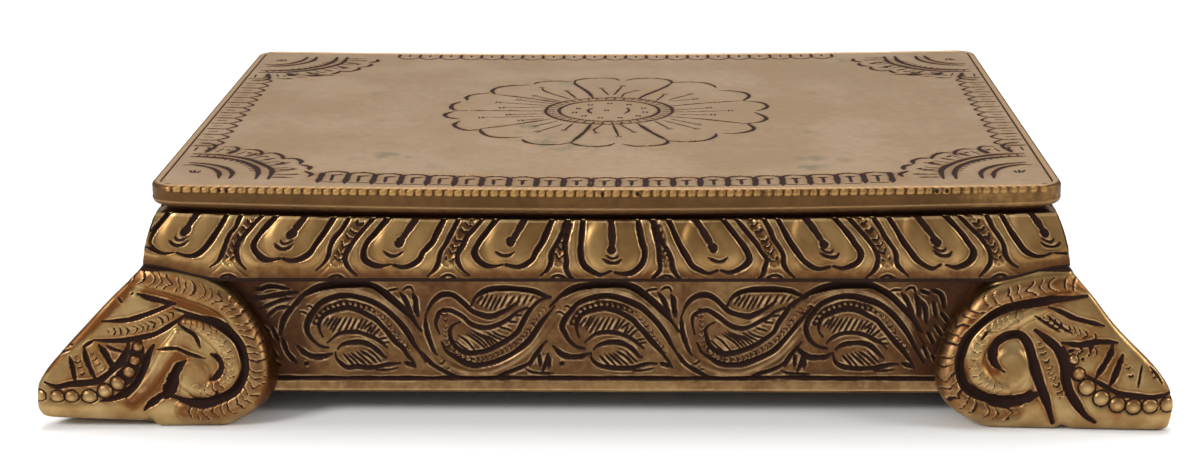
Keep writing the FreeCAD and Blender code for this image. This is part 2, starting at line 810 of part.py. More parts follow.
def foot_section(index):
    """Level outline of the front right foot at one of its levels."""
    level = frieze_bottom.value * FOOT_LEVEL_SHARES[index]
    flare = size.toe_flare.value * TOE_FLARE_SHARES[index]
    reach = size.foot_reach.value * FOOT_REACH_SHARES[index]
    forward = between(FOOT_FORWARD_SHARES, index, size.foot_top_forward.value,
                      size.foot_forward.value)
    toe_forward = forward + size.toe_forward.value * TOE_FLARE_SHARES[index]
    rim = size.foot_rim_width.value
    inside = size.overrun.value
    seat = size.skirt_inset.value
    edge = between(TOE_FLARE_SHARES, index, size.toe_edge_least_radius.value,
                   size.toe_edge_radius.value)

    def place(out_x, out_y):
        return FreeCAD.Vector(half_width.value + out_x, -half_depth.value - out_y, level)

    front_seat = place(-reach, -seat)
    front_shoulder = place(-reach, forward)
    front_crest = place(-reach + rim, forward)
    toe = place(flare, toe_forward)
    side_crest = place(forward, -reach + rim)
    side_shoulder = place(forward, -reach)
    side_seat = place(-seat, -reach)
    toward_front = front_crest - toe
    toward_front.normalize()
    toward_side = side_crest - toe
    toward_side.normalize()
    toe_front = toe + toward_front * edge
    toe_side = toe + toward_side * edge
    front_back = front_seat + FreeCAD.Vector(0, inside, 0)
    side_back = side_seat - FreeCAD.Vector(inside, 0, 0)
    heart = FreeCAD.Vector(side_back.x, front_back.y, level)
    return Part.makePolygon(
        [heart, front_back]
        + soft_corner(front_seat, front_shoulder, front_crest)
        + soft_corner(toe_front, toe, toe_side)
        + soft_corner(side_crest, side_shoulder, side_seat)
        + [side_back, heart])


def soft_corner(start, corner, finish):
    """Points of a curve that cuts a corner between two points."""
    points = []
    for index in range(SOFT_CORNER_EDGES + 1):
        share = index / SOFT_CORNER_EDGES
        before = start + (corner - start) * share
        after = corner + (finish - corner) * share
        points.append(before + (after - before) * share)
    return points


def foot_under_frieze():
    """Room under the frieze, whose lower edge rises towards the corner."""
    past = size.overrun.value
    far = 2.0 * size.top_width.value
    corners = []
    for half in (half_width, half_depth):
        start = half.value - size.foot_rise_run.value
        finish = half.value + size.toe_flare.value + past
        rise = size.foot_rise.value / size.foot_rise_run.value * (finish - start)
        corners.append((
            (0.0, -past), (finish, -past), (finish, frieze_bottom.value + rise),
            (start, frieze_bottom.value), (0.0, frieze_bottom.value)))
    across = [FreeCAD.Vector(a, far / 2.0, b) for a, b in corners[0]]
    along = [FreeCAD.Vector(-far / 2.0, -a, b) for a, b in corners[1]]
    return prism(across, FreeCAD.Vector(0, -far, 0)).common(
        prism(along, FreeCAD.Vector(far, 0, 0)))


def foot_seat():
    """The skirt corner that the foot is screwed against."""
    past = size.overrun.value
    corner_x = (half_width - size.skirt_inset).value
    corner_y = (half_depth - size.skirt_inset).value
    height = size.total_height.value + 2.0 * past
    return Part.makeBox(
        2.0 * corner_x, 2.0 * corner_y, height,
        FreeCAD.Vector(-corner_x, -corner_y, -past))


# The scroll on the foot's front, as shares of the reach inwards from the
# side of the top plate (negative towards the toe) and of the height under
# the frieze: the outer bead, and the hook inside it.
OUTER_BEAD_SHARES = ((-0.02, 1.05), (0.54, 0.945), (0.80, 0.70), (0.855, 0.46),
                     (0.66, 0.16), (0.34, 0.115), (0.08, 0.18))
HOOK_BEAD_SHARES = ((0.20, 0.74), (0.47, 0.64), (0.62, 0.46), (0.56, 0.30),
                    (0.38, 0.235), (0.27, 0.32), (0.31, 0.42))

# How each bead sets off: its rise for one part of way inwards
OUTER_BEAD_SLOPE_SHARE = -0.2
HOOK_BEAD_SLOPE_SHARE = -0.1


def front_plane():
    """Placement of the foot's sloping front: x inwards, y up the slope."""
    low = between(FOOT_FORWARD_SHARES, 1, size.foot_top_forward.value, size.foot_forward.value)
    high = size.foot_top_forward.value
    low_level = frieze_bottom.value * FOOT_LEVEL_SHARES[1]
    high_level = frieze_bottom.value * FOOT_LEVEL_SHARES[-1]
    origin = FreeCAD.Vector(half_width.value, -half_depth.value - low, low_level)
    up = FreeCAD.Vector(0, low - high, high_level - low_level)
    up.normalize()
    sideways = FreeCAD.Vector(-(size.foot_reach + size.toe_flare).value,
                              size.toe_forward.value, 0)
    sideways.normalize()
    outwards = sideways.cross(up)
    outwards.normalize()
    up = outwards.cross(sideways)
    matrix = FreeCAD.Matrix(
        sideways.x, up.x, outwards.x, origin.x,
        sideways.y, up.y, outwards.y, origin.y,
        sideways.z, up.z, outwards.z, origin.z,
        0, 0, 0, 1)
    return FreeCAD.Placement(matrix), low_level


def bead_section(centre, heading, radius):
    """Many-sided section of a bead, with a flat side up, square to its way."""
    sideways = FreeCAD.Vector(-heading.y, heading.x, 0.0)
    upwards = FreeCAD.Vector(0, 0, 1)
    corners = []
    for index in range(BEAD_SIDES + 1):
        angle = (index + 0.5) * FULL_TURN / BEAD_SIDES * DEGREE
        corners.append(
            centre + (sideways * math.cos(angle) + upwards * math.sin(angle)) * radius)
    return Part.makePolygon(corners)


def bead(shares, slope, radius, relief):
    """Bead that follows a scroll on the foot's front."""
    heading = FreeCAD.Vector(1.0, slope, 0.0)
    heading.normalize()
    placement, low_level = front_plane()
    reach = size.foot_reach.value
    height = frieze_bottom.value
    places = [
        FreeCAD.Vector(across * reach, up * height - low_level, 0.0)
        for across, up in shares
    ]
    edges = tangent_arcs(places, heading)
    path = Part.Wire(edges)
    tube = path.makePipeShell([bead_section(places[0], heading, radius)], True, False)
    crest = radius * math.cos(FULL_TURN / BEAD_SIDES / 2.0 * DEGREE)
    tube.translate(FreeCAD.Vector(0, 0, relief - crest))
    tube.Placement = placement.multiply(tube.Placement)
    return tube


def foot_shape():
    """Front right foot: lofted casting with a beaded scroll on its front."""
    sections = [foot_section(index) for index in range(len(FOOT_LEVEL_SHARES))]
    blank = Part.makeLoft(sections, True, False)
    outer = bead(OUTER_BEAD_SHARES, OUTER_BEAD_SLOPE_SHARE, size.volute_bead_radius.value,
                 size.volute_bead_relief.value)
    hook = bead(HOOK_BEAD_SHARES, HOOK_BEAD_SLOPE_SHARE, size.hook_bead_radius.value,
                size.volute_bead_relief.value)
    shape = blank.fuse([outer, hook])
    shape = shape.common(foot_under_frieze()).cut(foot_seat())
    return shape.cut(Part.makeCompound(foot_screw_holes()))


def foot_screw_holes():
    """Blind holes in the foot for the two screws from inside."""
    depth = (size.wall_screw_bite + size.screw_tip_room).value
    radius = hole_radius.value
    level = foot_screw_level.value
    in_x = (half_width - wall_inset - size.screw_from_corner).value
    in_y = (half_depth - wall_inset - size.screw_from_corner).value
    seat_x = (half_width - size.skirt_inset).value
    seat_y = (half_depth - size.skirt_inset).value
    return [
        Part.makeCylinder(radius, depth, FreeCAD.Vector(in_x, -seat_y, level),
                          FreeCAD.Vector(0, -1, 0)),
        Part.makeCylinder(radius, depth, FreeCAD.Vector(seat_x, -in_y, level),
                          FreeCAD.Vector(1, 0, 0)),
    ]


def mirrored(source, name, normal):
    """Mirror image of an object through a plane by the origin."""
    feature = document.addObject("Part::Mirroring", name + "_mirror")
    feature.Source = source
    feature.Normal = normal
    feature.Label = name
    return feature


def build_four(base, master):
    """Name the front right piece and mirror it to the other corners."""
    across = FreeCAD.Vector(1, 0, 0)
    along = FreeCAD.Vector(0, 1, 0)
    master.Label = base + "_front_right"
    nodes[base + "_front_right"] = master
    nodes[base + "_front_left"] = mirrored(master, base + "_front_left", across)
    nodes[base + "_back_right"] = mirrored(master, base + "_back_right", along)
    nodes[base + "_back_left"] = mirrored(
        nodes[base + "_back_right"], base + "_back_left", across)


# Corner brackets inside the box of walls


def build_brackets():
    """Angle with a top web that ties frieze, skirt, foot and top together."""
    body = new_body("bracket_blank")
    corner_x = half_width - wall_inset
    corner_y = -(half_depth - wall_inset)
    leg = size.bracket_leg
    thick = size.bracket_thickness
    angle = [
        (corner_x, corner_y), (corner_x, corner_y + leg),
        (corner_x - thick, corner_y + leg), (corner_x - thick, corner_y + thick),
        (corner_x - leg, corner_y + thick), (corner_x - leg, corner_y),
    ]
    sketch = outline_sketch(
        body, "bracket_angle", "XY_Plane", angle, size.bracket_bottom_level)
    pad(body, sketch, bracket_top - size.bracket_bottom_level)
    web = [
        (corner_x, corner_y), (corner_x, corner_y + leg),
        (corner_x - thick, corner_y + leg), (corner_x - leg, corner_y + thick),
        (corner_x - leg, corner_y),
    ]
    sketch = outline_sketch(
        body, "bracket_web", "XY_Plane", web, bracket_top - thick)
    pad(body, sketch, thick)
    in_x = corner_x - size.screw_from_corner
    in_y = corner_y + size.screw_from_corner
    levels = (foot_screw_level, frieze_screw_level)
    front_holes = circles_sketch(
        body, "bracket_front_holes", "XZ_Plane",
        [(in_x, level) for level in levels], hole_radius, -corner_y - thick - size.overrun)
    pocket(body, front_holes, thick + size.overrun * 2.0, backwards=True)
    side_holes = circles_sketch(
        body, "bracket_side_holes", "YZ_Plane",
        [(in_y, level) for level in levels], hole_radius, corner_x - thick - size.overrun)
    pocket(body, side_holes, thick + size.overrun * 2.0, backwards=True)
    in_flange = size.flange_width / 2.0
    far = size.top_screw_from_corner
    web_holes = circles_sketch(
        body, "bracket_web_holes", "XY_Plane",
        [(corner_x - far, corner_y + in_flange), (corner_x - in_flange, corner_y + far)],
        hole_radius, bracket_top - thick - size.overrun)
    pocket(body, web_holes, thick + size.overrun * 2.0, backwards=True)
    document.recompute()
    build_four("corner_bracket", body)


# Screws


def screw_shape(length):
    """Screw with a bevelled head that points up from its seat at the origin."""
    head_height = size.screw_head_height.value
    low = FreeCAD.Vector(0, 0, -head_height)
    head = Part.makeCylinder(size.screw_head_radius.value, head_height, low)
    rim = [edge for edge in head.Edges if edge.BoundBox.ZMax < -head_height / 2.0]
    head = head.makeChamfer(head_height * SCREW_CROWN_SHARE, rim)
    return head.fuse(Part.makeCylinder(size.screw_radius.value, length))


def placed_screws(length, places):
    """Copies of one screw, each at a seat and pointing along a way."""
    copies = []
    for seat, way in places:
        copy = screw_shape(length)
        rotation = FreeCAD.Rotation(FreeCAD.Vector(0, 0, 1), way)
        copy.Placement = FreeCAD.Placement(seat, rotation)
        copies.append(copy)
    return Part.makeCompound(copies)


def wall_screw_seats(level):
    """Seats and directions of the screws that run out through the walls."""
    thick = size.bracket_thickness
    in_x = (half_width - wall_inset - size.screw_from_corner).value
    in_y = (half_depth - wall_inset - size.screw_from_corner).value
    face_x = (half_width - wall_inset - thick).value
    face_y = (half_depth - wall_inset - thick).value
    seats = []
    for side_x in (1, -1):
        for side_y in (1, -1):
            seats.append((FreeCAD.Vector(side_x * in_x, side_y * face_y, level),
                          FreeCAD.Vector(0, side_y, 0)))
            seats.append((FreeCAD.Vector(side_x * face_x, side_y * in_y, level),
                          FreeCAD.Vector(side_x, 0, 0)))
    return seats


def build_screws():
    """Three sets of equal screws: for the top, the frieze and the feet."""
    thick = size.bracket_thickness.value
    seat_level = bracket_top.value - thick
    up = FreeCAD.Vector(0, 0, 1)
    top_seats = [
        (FreeCAD.Vector(across.value, along.value, seat_level), up)
        for across, along in top_screw_places()
    ]
    length = thick + size.flange_thickness.value + size.screw_bite.value
    nodes["top_plate_screws"] = plain_shape(
        "top_plate_screws", placed_screws(length, top_seats))
    length = thick + size.wall_screw_bite.value
    nodes["frieze_screws"] = plain_shape(
        "frieze_screws",
        placed_screws(length, wall_screw_seats(frieze_screw_level.value)))
    length = thick + size.skirt_thickness.value + size.wall_screw_bite.value
    nodes["foot_screws"] = plain_shape(
        "foot_screws",
        placed_screws(length, wall_screw_seats(foot_screw_level.value)))


# Build, check and write


def build():
    """Build every piece of the table."""
    build_top_plate()
    for side, angle, half_run, distance in SIDES:
        long_side = side in ("front", "back")
        build_frieze(side, angle, half_run, distance,
                     FRONT_PETALS if long_side else SIDE_PETALS)
        build_skirt(side, angle, half_run, distance,
                    FRONT_VINE_LEAVES if long_side else SIDE_VINE_LEAVES)
    build_four("foot", plain_shape("foot_front_right", foot_shape()))
    build_brackets()
    build_screws()
    document.recompute()


def check_document():
    """Stop when any object or piece is not sound."""
    for item in document.Objects:
        for word in ("Invalid", "Error"):
            if word in item.State:
                raise RuntimeError("%s is %s" % (item.Label, word))
    for name, item in nodes.items():
        shape = item.Shape
        if shape.isNull() or not shape.isValid():
            raise RuntimeError(name + " has no sound shape")
        if not shape.Solids:
            raise RuntimeError(name + " has no solid")


def write_pieces():
    """Write each piece to its own file."""
    os.makedirs("parts", exist_ok=True)
    for name, item in nodes.items():
        box = item.Shape.BoundBox
        print("%-24s %2d solids %10.1f mm3  x %.1f %.1f  y %.1f %.1f  z %.1f %.1f" % (
            name, len(item.Shape.Solids), item.Shape.Volume, box.XMin, box.XMax,
            box.YMin, box.YMax, box.ZMin, box.ZMax))
        item.Shape.exportStep("parts/%s.step" % name)


build()
check_document()
write_pieces()
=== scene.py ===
"""Dress of a small low table of cast brass: chased top, lotus frieze, vine skirt, scroll feet.

The carved faces are worked out in millimetres as strokes of a chisel on a fine
grid of points, and written to the meshes in metres. Every stroke is a line drawn
on squared paper, whose square is a named size.
"""
import logging
import math
from dataclasses import dataclass, replace
from enum import Enum
from typing import Any, Callable, Iterable, Sequence

import bpy
import numpy as np
from mathutils import Matrix, Vector


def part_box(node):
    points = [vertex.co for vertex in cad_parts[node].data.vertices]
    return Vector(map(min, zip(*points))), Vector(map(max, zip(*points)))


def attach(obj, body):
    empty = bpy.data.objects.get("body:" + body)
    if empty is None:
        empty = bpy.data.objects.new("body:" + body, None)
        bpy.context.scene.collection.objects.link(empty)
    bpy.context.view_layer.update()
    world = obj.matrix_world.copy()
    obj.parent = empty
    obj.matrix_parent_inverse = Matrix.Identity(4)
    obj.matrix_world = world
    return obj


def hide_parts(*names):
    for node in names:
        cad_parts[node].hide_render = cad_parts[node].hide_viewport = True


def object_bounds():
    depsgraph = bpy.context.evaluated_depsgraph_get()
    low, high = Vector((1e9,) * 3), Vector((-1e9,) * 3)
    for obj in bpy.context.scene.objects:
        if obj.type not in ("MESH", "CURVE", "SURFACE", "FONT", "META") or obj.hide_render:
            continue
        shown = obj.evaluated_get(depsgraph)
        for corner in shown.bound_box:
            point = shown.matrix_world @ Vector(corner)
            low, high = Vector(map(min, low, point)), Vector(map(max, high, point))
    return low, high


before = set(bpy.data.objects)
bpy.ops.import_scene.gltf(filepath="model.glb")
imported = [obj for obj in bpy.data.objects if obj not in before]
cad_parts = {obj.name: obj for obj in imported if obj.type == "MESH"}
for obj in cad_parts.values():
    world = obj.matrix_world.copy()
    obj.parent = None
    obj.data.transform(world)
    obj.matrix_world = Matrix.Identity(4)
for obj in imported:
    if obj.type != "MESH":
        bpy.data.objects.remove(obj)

MM = 0.001
METRE = 1000.0
SEAM = 1e-6
BODY = "root"
CREASE = math.radians(62.0)

Point = tuple[float, float]
Colour = tuple[float, float, float]
Spot = tuple[float, float, float]
Placing = Callable[[np.ndarray], np.ndarray]
# Marks the finishes read: waxed fill of the cuts with painted shade in gaps and under rims, dirt with
# painted shade round the cuts and in recesses, and shine, a painted highlight on rubbed high parts.
MARKS = ("wax", "grime_and_shade", "shine")

log = logging.getLogger("low_table")
cad_low, cad_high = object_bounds()


def edge_of(node: str, axis: int, high: bool) -> float:
    """Return one face of a node's box in millimetres.

    Args:
        node: Name of the CAD node.
        axis: 0, 1 or 2 for X, Y or Z.
        high: True for the upper face, False for the lower.

    Returns:
        The coordinate of that face.
    """
    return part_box(node)[1 if high else 0][axis] * METRE


TOE_LIMIT = cad_high[0] * METRE
HALF_WIDTH = edge_of("top_plate", 0, True)
HALF_DEPTH = edge_of("top_plate", 1, True)
TOP_LEVEL = edge_of("top_plate", 2, True)
PLATE_UNDERSIDE = edge_of("top_plate", 2, False)
FRIEZE_LIP = -edge_of("lotus_frieze_front", 1, False) - HALF_DEPTH
FLANGE_INSET = HALF_DEPTH + edge_of("lotus_frieze_front", 1, True)
SKIRT_INSET = HALF_DEPTH + edge_of("scroll_skirt_front", 1, False)
WALL_INSET = HALF_DEPTH + edge_of("scroll_skirt_front", 1, True)
SKIRT_TOP = edge_of("scroll_skirt_front", 2, True)
SKIRT_BOTTOM = edge_of("scroll_skirt_front", 2, False)


class Side(Enum):
    """The four sides, as quarter turns from the front."""

    FRONT = 0
    RIGHT = 1
    BACK = 2
    LEFT = 3

    @property
    def label(self) -> str:
        """Name of the side as the nodes carry it."""
        return self.name.lower()

    @property
    def is_long(self) -> bool:
        """True for the front and the back."""
        return self in (Side.FRONT, Side.BACK)

    @property
    def half_run(self) -> float:
        """Half the length of the side of the top plate."""
        return HALF_WIDTH if self.is_long else HALF_DEPTH

    @property
    def distance(self) -> float:
        """Distance of the side of the top plate from the middle."""
        return HALF_DEPTH if self.is_long else HALF_WIDTH

    def turn(self, points: np.ndarray) -> np.ndarray:
        """Turn points made for the front round to this side.

        Args:
            points: Array whose last axis is X, Y, Z.

        Returns:
            The turned array.
        """
        x, y, z = points[..., 0], points[..., 1], points[..., 2]
        turned = {Side.FRONT: (x, y), Side.RIGHT: (-y, x),
                  Side.BACK: (-x, -y), Side.LEFT: (y, -x)}[self]
        return np.stack([turned[0], turned[1], z], axis=-1)


class Corner(Enum):
    """The four corners, as the signs of X and Y."""

    FRONT_LEFT = (-1.0, -1.0)
    FRONT_RIGHT = (1.0, -1.0)
    BACK_LEFT = (-1.0, 1.0)
    BACK_RIGHT = (1.0, 1.0)

    @property
    def label(self) -> str:
        """Name of the corner as the nodes carry it."""
        return self.name.lower()


@dataclass(frozen=True)
class Sag:
    """How far the old plate and the frieze have sunk in the middle of their length."""

    frieze: float = 2.1
    under_plate: float = 2.4
    top: float = 1.1
    neck_height: float = 2.2

    def apply(self, points: np.ndarray) -> np.ndarray:
        """Lower points, most in the middle, and return them."""
        share = np.clip(1.0 - (points[..., 0] / HALF_WIDTH) ** 2, 0.0, 1.0)
        levels = (SKIRT_TOP, PLATE_UNDERSIDE - self.neck_height, PLATE_UNDERSIDE, TOP_LEVEL)
        drop = np.interp(points[..., 2], levels, (0.0, self.frieze, self.under_plate, self.top))
        points[..., 2] -= drop * share
        return points


# Lines of the chisel


@dataclass(frozen=True)
class Stroke:
    """One line of the chisel: the points it runs through and its width."""

    points: tuple[Point, ...]
    width: float
    depth: float = 0.0
    ends: Point = (0.45, 0.45)


def line(width: float, *numbers: float, depth: float = 0.0, ends: Point = (0.45, 0.45)) -> Stroke:
    """Draw a stroke from a plain run of numbers, two for each point.

    Args:
        width: Width of the stroke, in the drawing's squares.
        numbers: Across and down of each point in turn.
        depth: Depth in millimetres, or 0 to take it from the width.
        ends: Share of the width that is left at the start and the finish.

    Returns:
        The stroke.
    """
    return Stroke(tuple(zip(numbers[0::2], numbers[1::2])), width, depth, ends)


def smooth_line(points: np.ndarray, step: float) -> np.ndarray:
    """Run a smooth curve through points.

    Args:
        points: The points, one a row.
        step: Longest chord of the curve.

    Returns:
        Points close together along the curve.
    """
    if len(points) < 3:
        return points
    padded = np.concatenate([2 * points[:1] - points[1:2], points, 2 * points[-1:] - points[-2:-1]])
    pieces = []
    for before, start, finish, after in zip(padded, padded[1:], padded[2:], padded[3:]):
        count = max(2, int(np.linalg.norm(finish - start) / step) + 1)
        t = np.linspace(0.0, 1.0, count, endpoint=False)[:, None]
        pieces.append(0.5 * (
            2 * start + (finish - before) * t
            + (2 * before - 5 * start + 4 * finish - after) * t ** 2
            + (3 * start - before - 3 * finish + after) * t ** 3))
    return np.concatenate(pieces + [points[-1:]])


def soften(values: np.ndarray, cells: float) -> np.ndarray:
    """Spread a field over its neighbours.

    Args:
        values: The field, as a table.
        cells: How far it spreads, in cells.

    Returns:
        The softened field.
    """
    reach = int(2.6 * cells) + 1
    weights = np.exp(-0.5 * (np.arange(-reach, reach + 1) / cells) ** 2)
    weights /= weights.sum()
    rows, columns = values.shape
    padded = np.pad(values, reach, mode="edge")
    upright = sum(w * padded[k:k + rows] for k, w in enumerate(weights))
    return sum(w * upright[:, k:k + columns] for k, w in enumerate(weights))


def ease(value: np.ndarray) -> np.ndarray:
    """Smooth step from 0 to 1."""
    value = np.clip(value, 0.0, 1.0)
    return value * value * (3.0 - 2.0 * value)


def taper_of(share: np.ndarray, ends: Point, run: float) -> np.ndarray:
    """Share of a stroke's width that is left along it.

    Args:
        share: Share of the way along the stroke.
        ends: What is left at its start and finish.
        run: Share of the way over which an end narrows.

    Returns:
        The share of the width at each point.
    """
    return (ends[0] + (1 - ends[0]) * ease(share / run)) * (
        ends[1] + (1 - ends[1]) * ease((1 - share) / run))


def raise_to(field: np.ndarray, where: Any, values: Any) -> None:
    """Raise part of a field to at least the given values."""
    field[where] = np.maximum(field[where], values)


class Relief:
    """Chased work on one face: how far each point is raised or cut, in millimetres."""

    CURVE_STEP = 0.7
    FINE_STROKE = 3.3
    DEPTH_PER_WIDTH = 0.62
    LEAST_DEPTH = 0.3
    MOST_DEPTH = 1.1
    GROOVE_TAPER = 0.22
    SLOW_SWELL = (0.10, 11.0)
    QUICK_SWELL = (0.06, 29.0)
    WAX_EDGE = (1.3, 0.6)
    BURR_WIDTH = 0.3
    BURR_GLEAM = 0.85
    ROLL_TAPER = 0.25
    ROLL_CROWN = 0.75
    ROLL_GLEAM = 0.48
    DOME_REACH = 1.25
    PEARL_REACH = 1.5
    PEARL_GLEAM = 0.55
    PEARL_CLEAR = 0.92
    PEARL_RING = (1.08, 0.16)
    RING_DEPTH = 0.45
    RING_WAX = (1.5, 0.3)
    SCALE_EDGE = 0.35
    SCALE_WAVES = ((0.16, 0.9), (0.1, 2.1))
    SCALE_REST = 0.55
    SCALE_WAX = 0.85
    SCALE_ENDS = 0.004
    SCALE_SOFTNESS = 0.14
    SCALE_TIP = (0.97, 0.06)
    SCALE_CREST = (0.6, 0.3)
    BEAD_SLIP = 0.06
    FURROW = (2.7, 0.4, (0.7, 0.5), 0.9)
    SHOULDER_SPREAD = 0.75
    BURR_SPREAD = 0.2
    # Painted shade spread round each cut, and its strength
    CUT_SHADE_SPREAD = 1.1
    CUT_SHADE_GAIN = 1.5

    def __init__(self, across: np.ndarray, up: np.ndarray, cell: float, seed: int,
                 burr_height: float = 0.15, shoulder: float = 0.55) -> None:
        """Start a flat face.

        Args:
            across: Place of each point along the face.
            up: Place of each point up the face.
            cell: Spacing of the points.
            seed: Number that the small hand errors come from.
            burr_height: Height of the burr that the chisel leaves beside a cut.
            shoulder: Share of a cut's depth to which the metal beside it sinks.
        """
        self.burr_height = burr_height
        self.shoulder = shoulder
        self.table = across.shape
        self.across = across.ravel()
        self.up = up.ravel()
        self.cell = cell
        self.hand = np.random.default_rng(seed)
        self.cuts, self.raised, self.burr, self.wax, self.shine, self.darkening = np.zeros(
            (6, self.across.size))

    def near(self, path: np.ndarray, reach: float) -> tuple[np.ndarray, np.ndarray, np.ndarray]:
        """Find the points near a path.

        Args:
            path: Points of the path.
            reach: How far from it a point may lie.

        Returns:
            Indices of the points in its box, their distance, and the share of the way along it.
        """
        low = path.min(axis=0) - reach
        high = path.max(axis=0) + reach
        inside = np.nonzero((self.across > low[0]) & (self.across < high[0])
                            & (self.up > low[1]) & (self.up < high[1]))[0]
        across, up = self.across[inside], self.up[inside]
        best = np.full(inside.size, 1e9)
        share = np.zeros(inside.size)
        ways = np.diff(path, axis=0)
        lengths = np.maximum(np.hypot(ways[:, 0], ways[:, 1]), 1e-9)
        before = np.concatenate([[0.0], np.cumsum(lengths)])
        for start, way, length, passed in zip(path, ways, lengths, before):
            rel_a, rel_u = across - start[0], up - start[1]
            t = np.clip((rel_a * way[0] + rel_u * way[1]) / length ** 2, 0.0, 1.0)
            apart = np.hypot(rel_a - t * way[0], rel_u - t * way[1])
            closer = apart < best
            best[closer] = apart[closer]
            share[closer] = (passed + t[closer] * length) / before[-1]
        return inside, best, share

    def path(self, points: Sequence[Point], place: Placing | None = None,
             wobble: float = 0.0) -> np.ndarray:
        """Smooth path through points, moved to its place with small hand errors."""
        drawn = np.array(points, dtype=float)
        if place is not None:
            drawn = place(drawn)
        drawn = drawn + self.hand.normal(0.0, 1.0, drawn.shape) * wobble
        return smooth_line(drawn, self.CURVE_STEP)

    def groove(self, path: np.ndarray, width: float, depth: float = 0.0,
               ends: Point = (0.45, 0.45), wax: float = 1.0) -> None:
        """Cut one groove with a burr along its sides.

        Args:
            path: Points of its middle line.
            width: Its width in millimetres.
            depth: Its depth, or 0 to take it from the width.
            ends: Share of the width left at its start and finish.
            wax: How dark its bottom is filled.
        """
        depth = depth or min(max(width * self.DEPTH_PER_WIDTH, self.LEAST_DEPTH), self.MOST_DEPTH)
        inside, apart, share = self.near(path, width + 3 * self.BURR_WIDTH)
        if not inside.size:
            return
        taper = taper_of(share, ends, self.GROOVE_TAPER)
        phase = self.hand.uniform(0.0, 6.0, 2)
        uneven = (1.0 + self.SLOW_SWELL[0] * np.sin(share * self.SLOW_SWELL[1] + phase[0])
                  + self.QUICK_SWELL[0] * np.sin(share * self.QUICK_SWELL[1] + phase[1]))
        half = 0.5 * width * taper * uneven
        hollow = np.clip(1.0 - (apart / half) ** 2, 0.0, 1.0)
        raise_to(self.cuts, inside, depth * taper * np.sqrt(hollow))
        softness, offset = self.WAX_EDGE
        edge = np.clip((half - apart) / (softness * self.cell) + offset, 0.0, 1.0)
        raise_to(self.wax, inside, wax * edge)
        lip = np.exp(-((apart - half - self.BURR_WIDTH) / self.BURR_WIDTH) ** 2)
        raise_to(self.burr, inside, self.burr_height * taper * lip)

    def cut(self, stroke: Stroke, place: Placing, wobble: float, wax: float = 1.0) -> None:
        """Cut one stroke whose width is in millimetres."""
        path = self.path(stroke.points, place, wobble)
        self.groove(path, stroke.width, stroke.depth, stroke.ends, wax)

    def carve(self, strokes: Iterable[Stroke], place: Placing, square: float, wobble: float,
              fine: float = 1.0) -> None:
        """Cut all the strokes of a drawing.

        Args:
            strokes: The drawing.
            place: Moves points from its squares to the face.
            square: Size of a square in millimetres, for the widths.
            wobble: Size of the hand errors.
            fine: Share of their width that the fine strokes keep.
        """
        for stroke in strokes:
            share = fine if stroke.width < self.FINE_STROKE else 1.0
            self.groove(self.path(stroke.points, place, wobble), stroke.width * square * share,
                        stroke.depth, stroke.ends)

    def roll(self, path: np.ndarray, width: float, height: float, ends: Point) -> None:
        """Raise a round band along a path, with a painted highlight on its crown."""
        inside, apart, share = self.near(path, width)
        taper = taper_of(share, ends, self.ROLL_TAPER)
        half = np.maximum(0.5 * width * taper, 1e-3)
        crown = np.sqrt(taper) * np.clip(1.0 - (apart / half) ** 2, 0.0, 1.0) ** self.ROLL_CROWN
        raise_to(self.raised, inside, height * crown)
        raise_to(self.shine, inside, self.ROLL_GLEAM * crown ** 3)

    def darken_along(self, path: np.ndarray, width: float, share: float) -> None:
        """Darken the colour along a path, most along its middle."""
        inside, apart, _ = self.near(path, width)
        raise_to(self.darkening, inside, share * np.exp(-2.0 * (apart / (0.5 * width)) ** 2))

    def dome(self, centre: Point, halves: Point, height: float) -> None:
        """Raise a low belly with a flat middle."""
        apart = np.hypot((self.across - centre[0]) / halves[0], (self.up - centre[1]) / halves[1])
        raise_to(self.raised, ..., height * ease(self.DOME_REACH - apart ** 3))

    def pearl(self, centre: Point, radius: float, height: float, ring_share: float = 1.0) -> None:
        """Raise a round pearl with a dark ring round it and a painted highlight on its crown."""
        apart = np.hypot(self.across - centre[0], self.up - centre[1])
        inside = apart < radius * self.PEARL_REACH
        apart = apart[inside]
        crown = height * np.sqrt(np.clip(1.0 - (apart / radius) ** 2, 0.0, 1.0))
        middle, width = self.PEARL_RING
        ring = ring_share * np.exp(-((apart - radius * middle) / (width * radius)) ** 2)
        self.raised[inside] = np.maximum(self.raised[inside] * (apart > radius), crown)
        for field in (self.cuts, self.wax):
            field[inside] = np.where(apart < radius * self.PEARL_CLEAR, 0.0, field[inside])
        raise_to(self.cuts, inside, self.RING_DEPTH * height * ring)
        gain, offset = self.RING_WAX
        raise_to(self.wax, inside, np.clip(ring * gain - offset, 0.0, 1.0))
        raise_to(self.shine, inside, self.PEARL_GLEAM * (crown / height) ** 2)

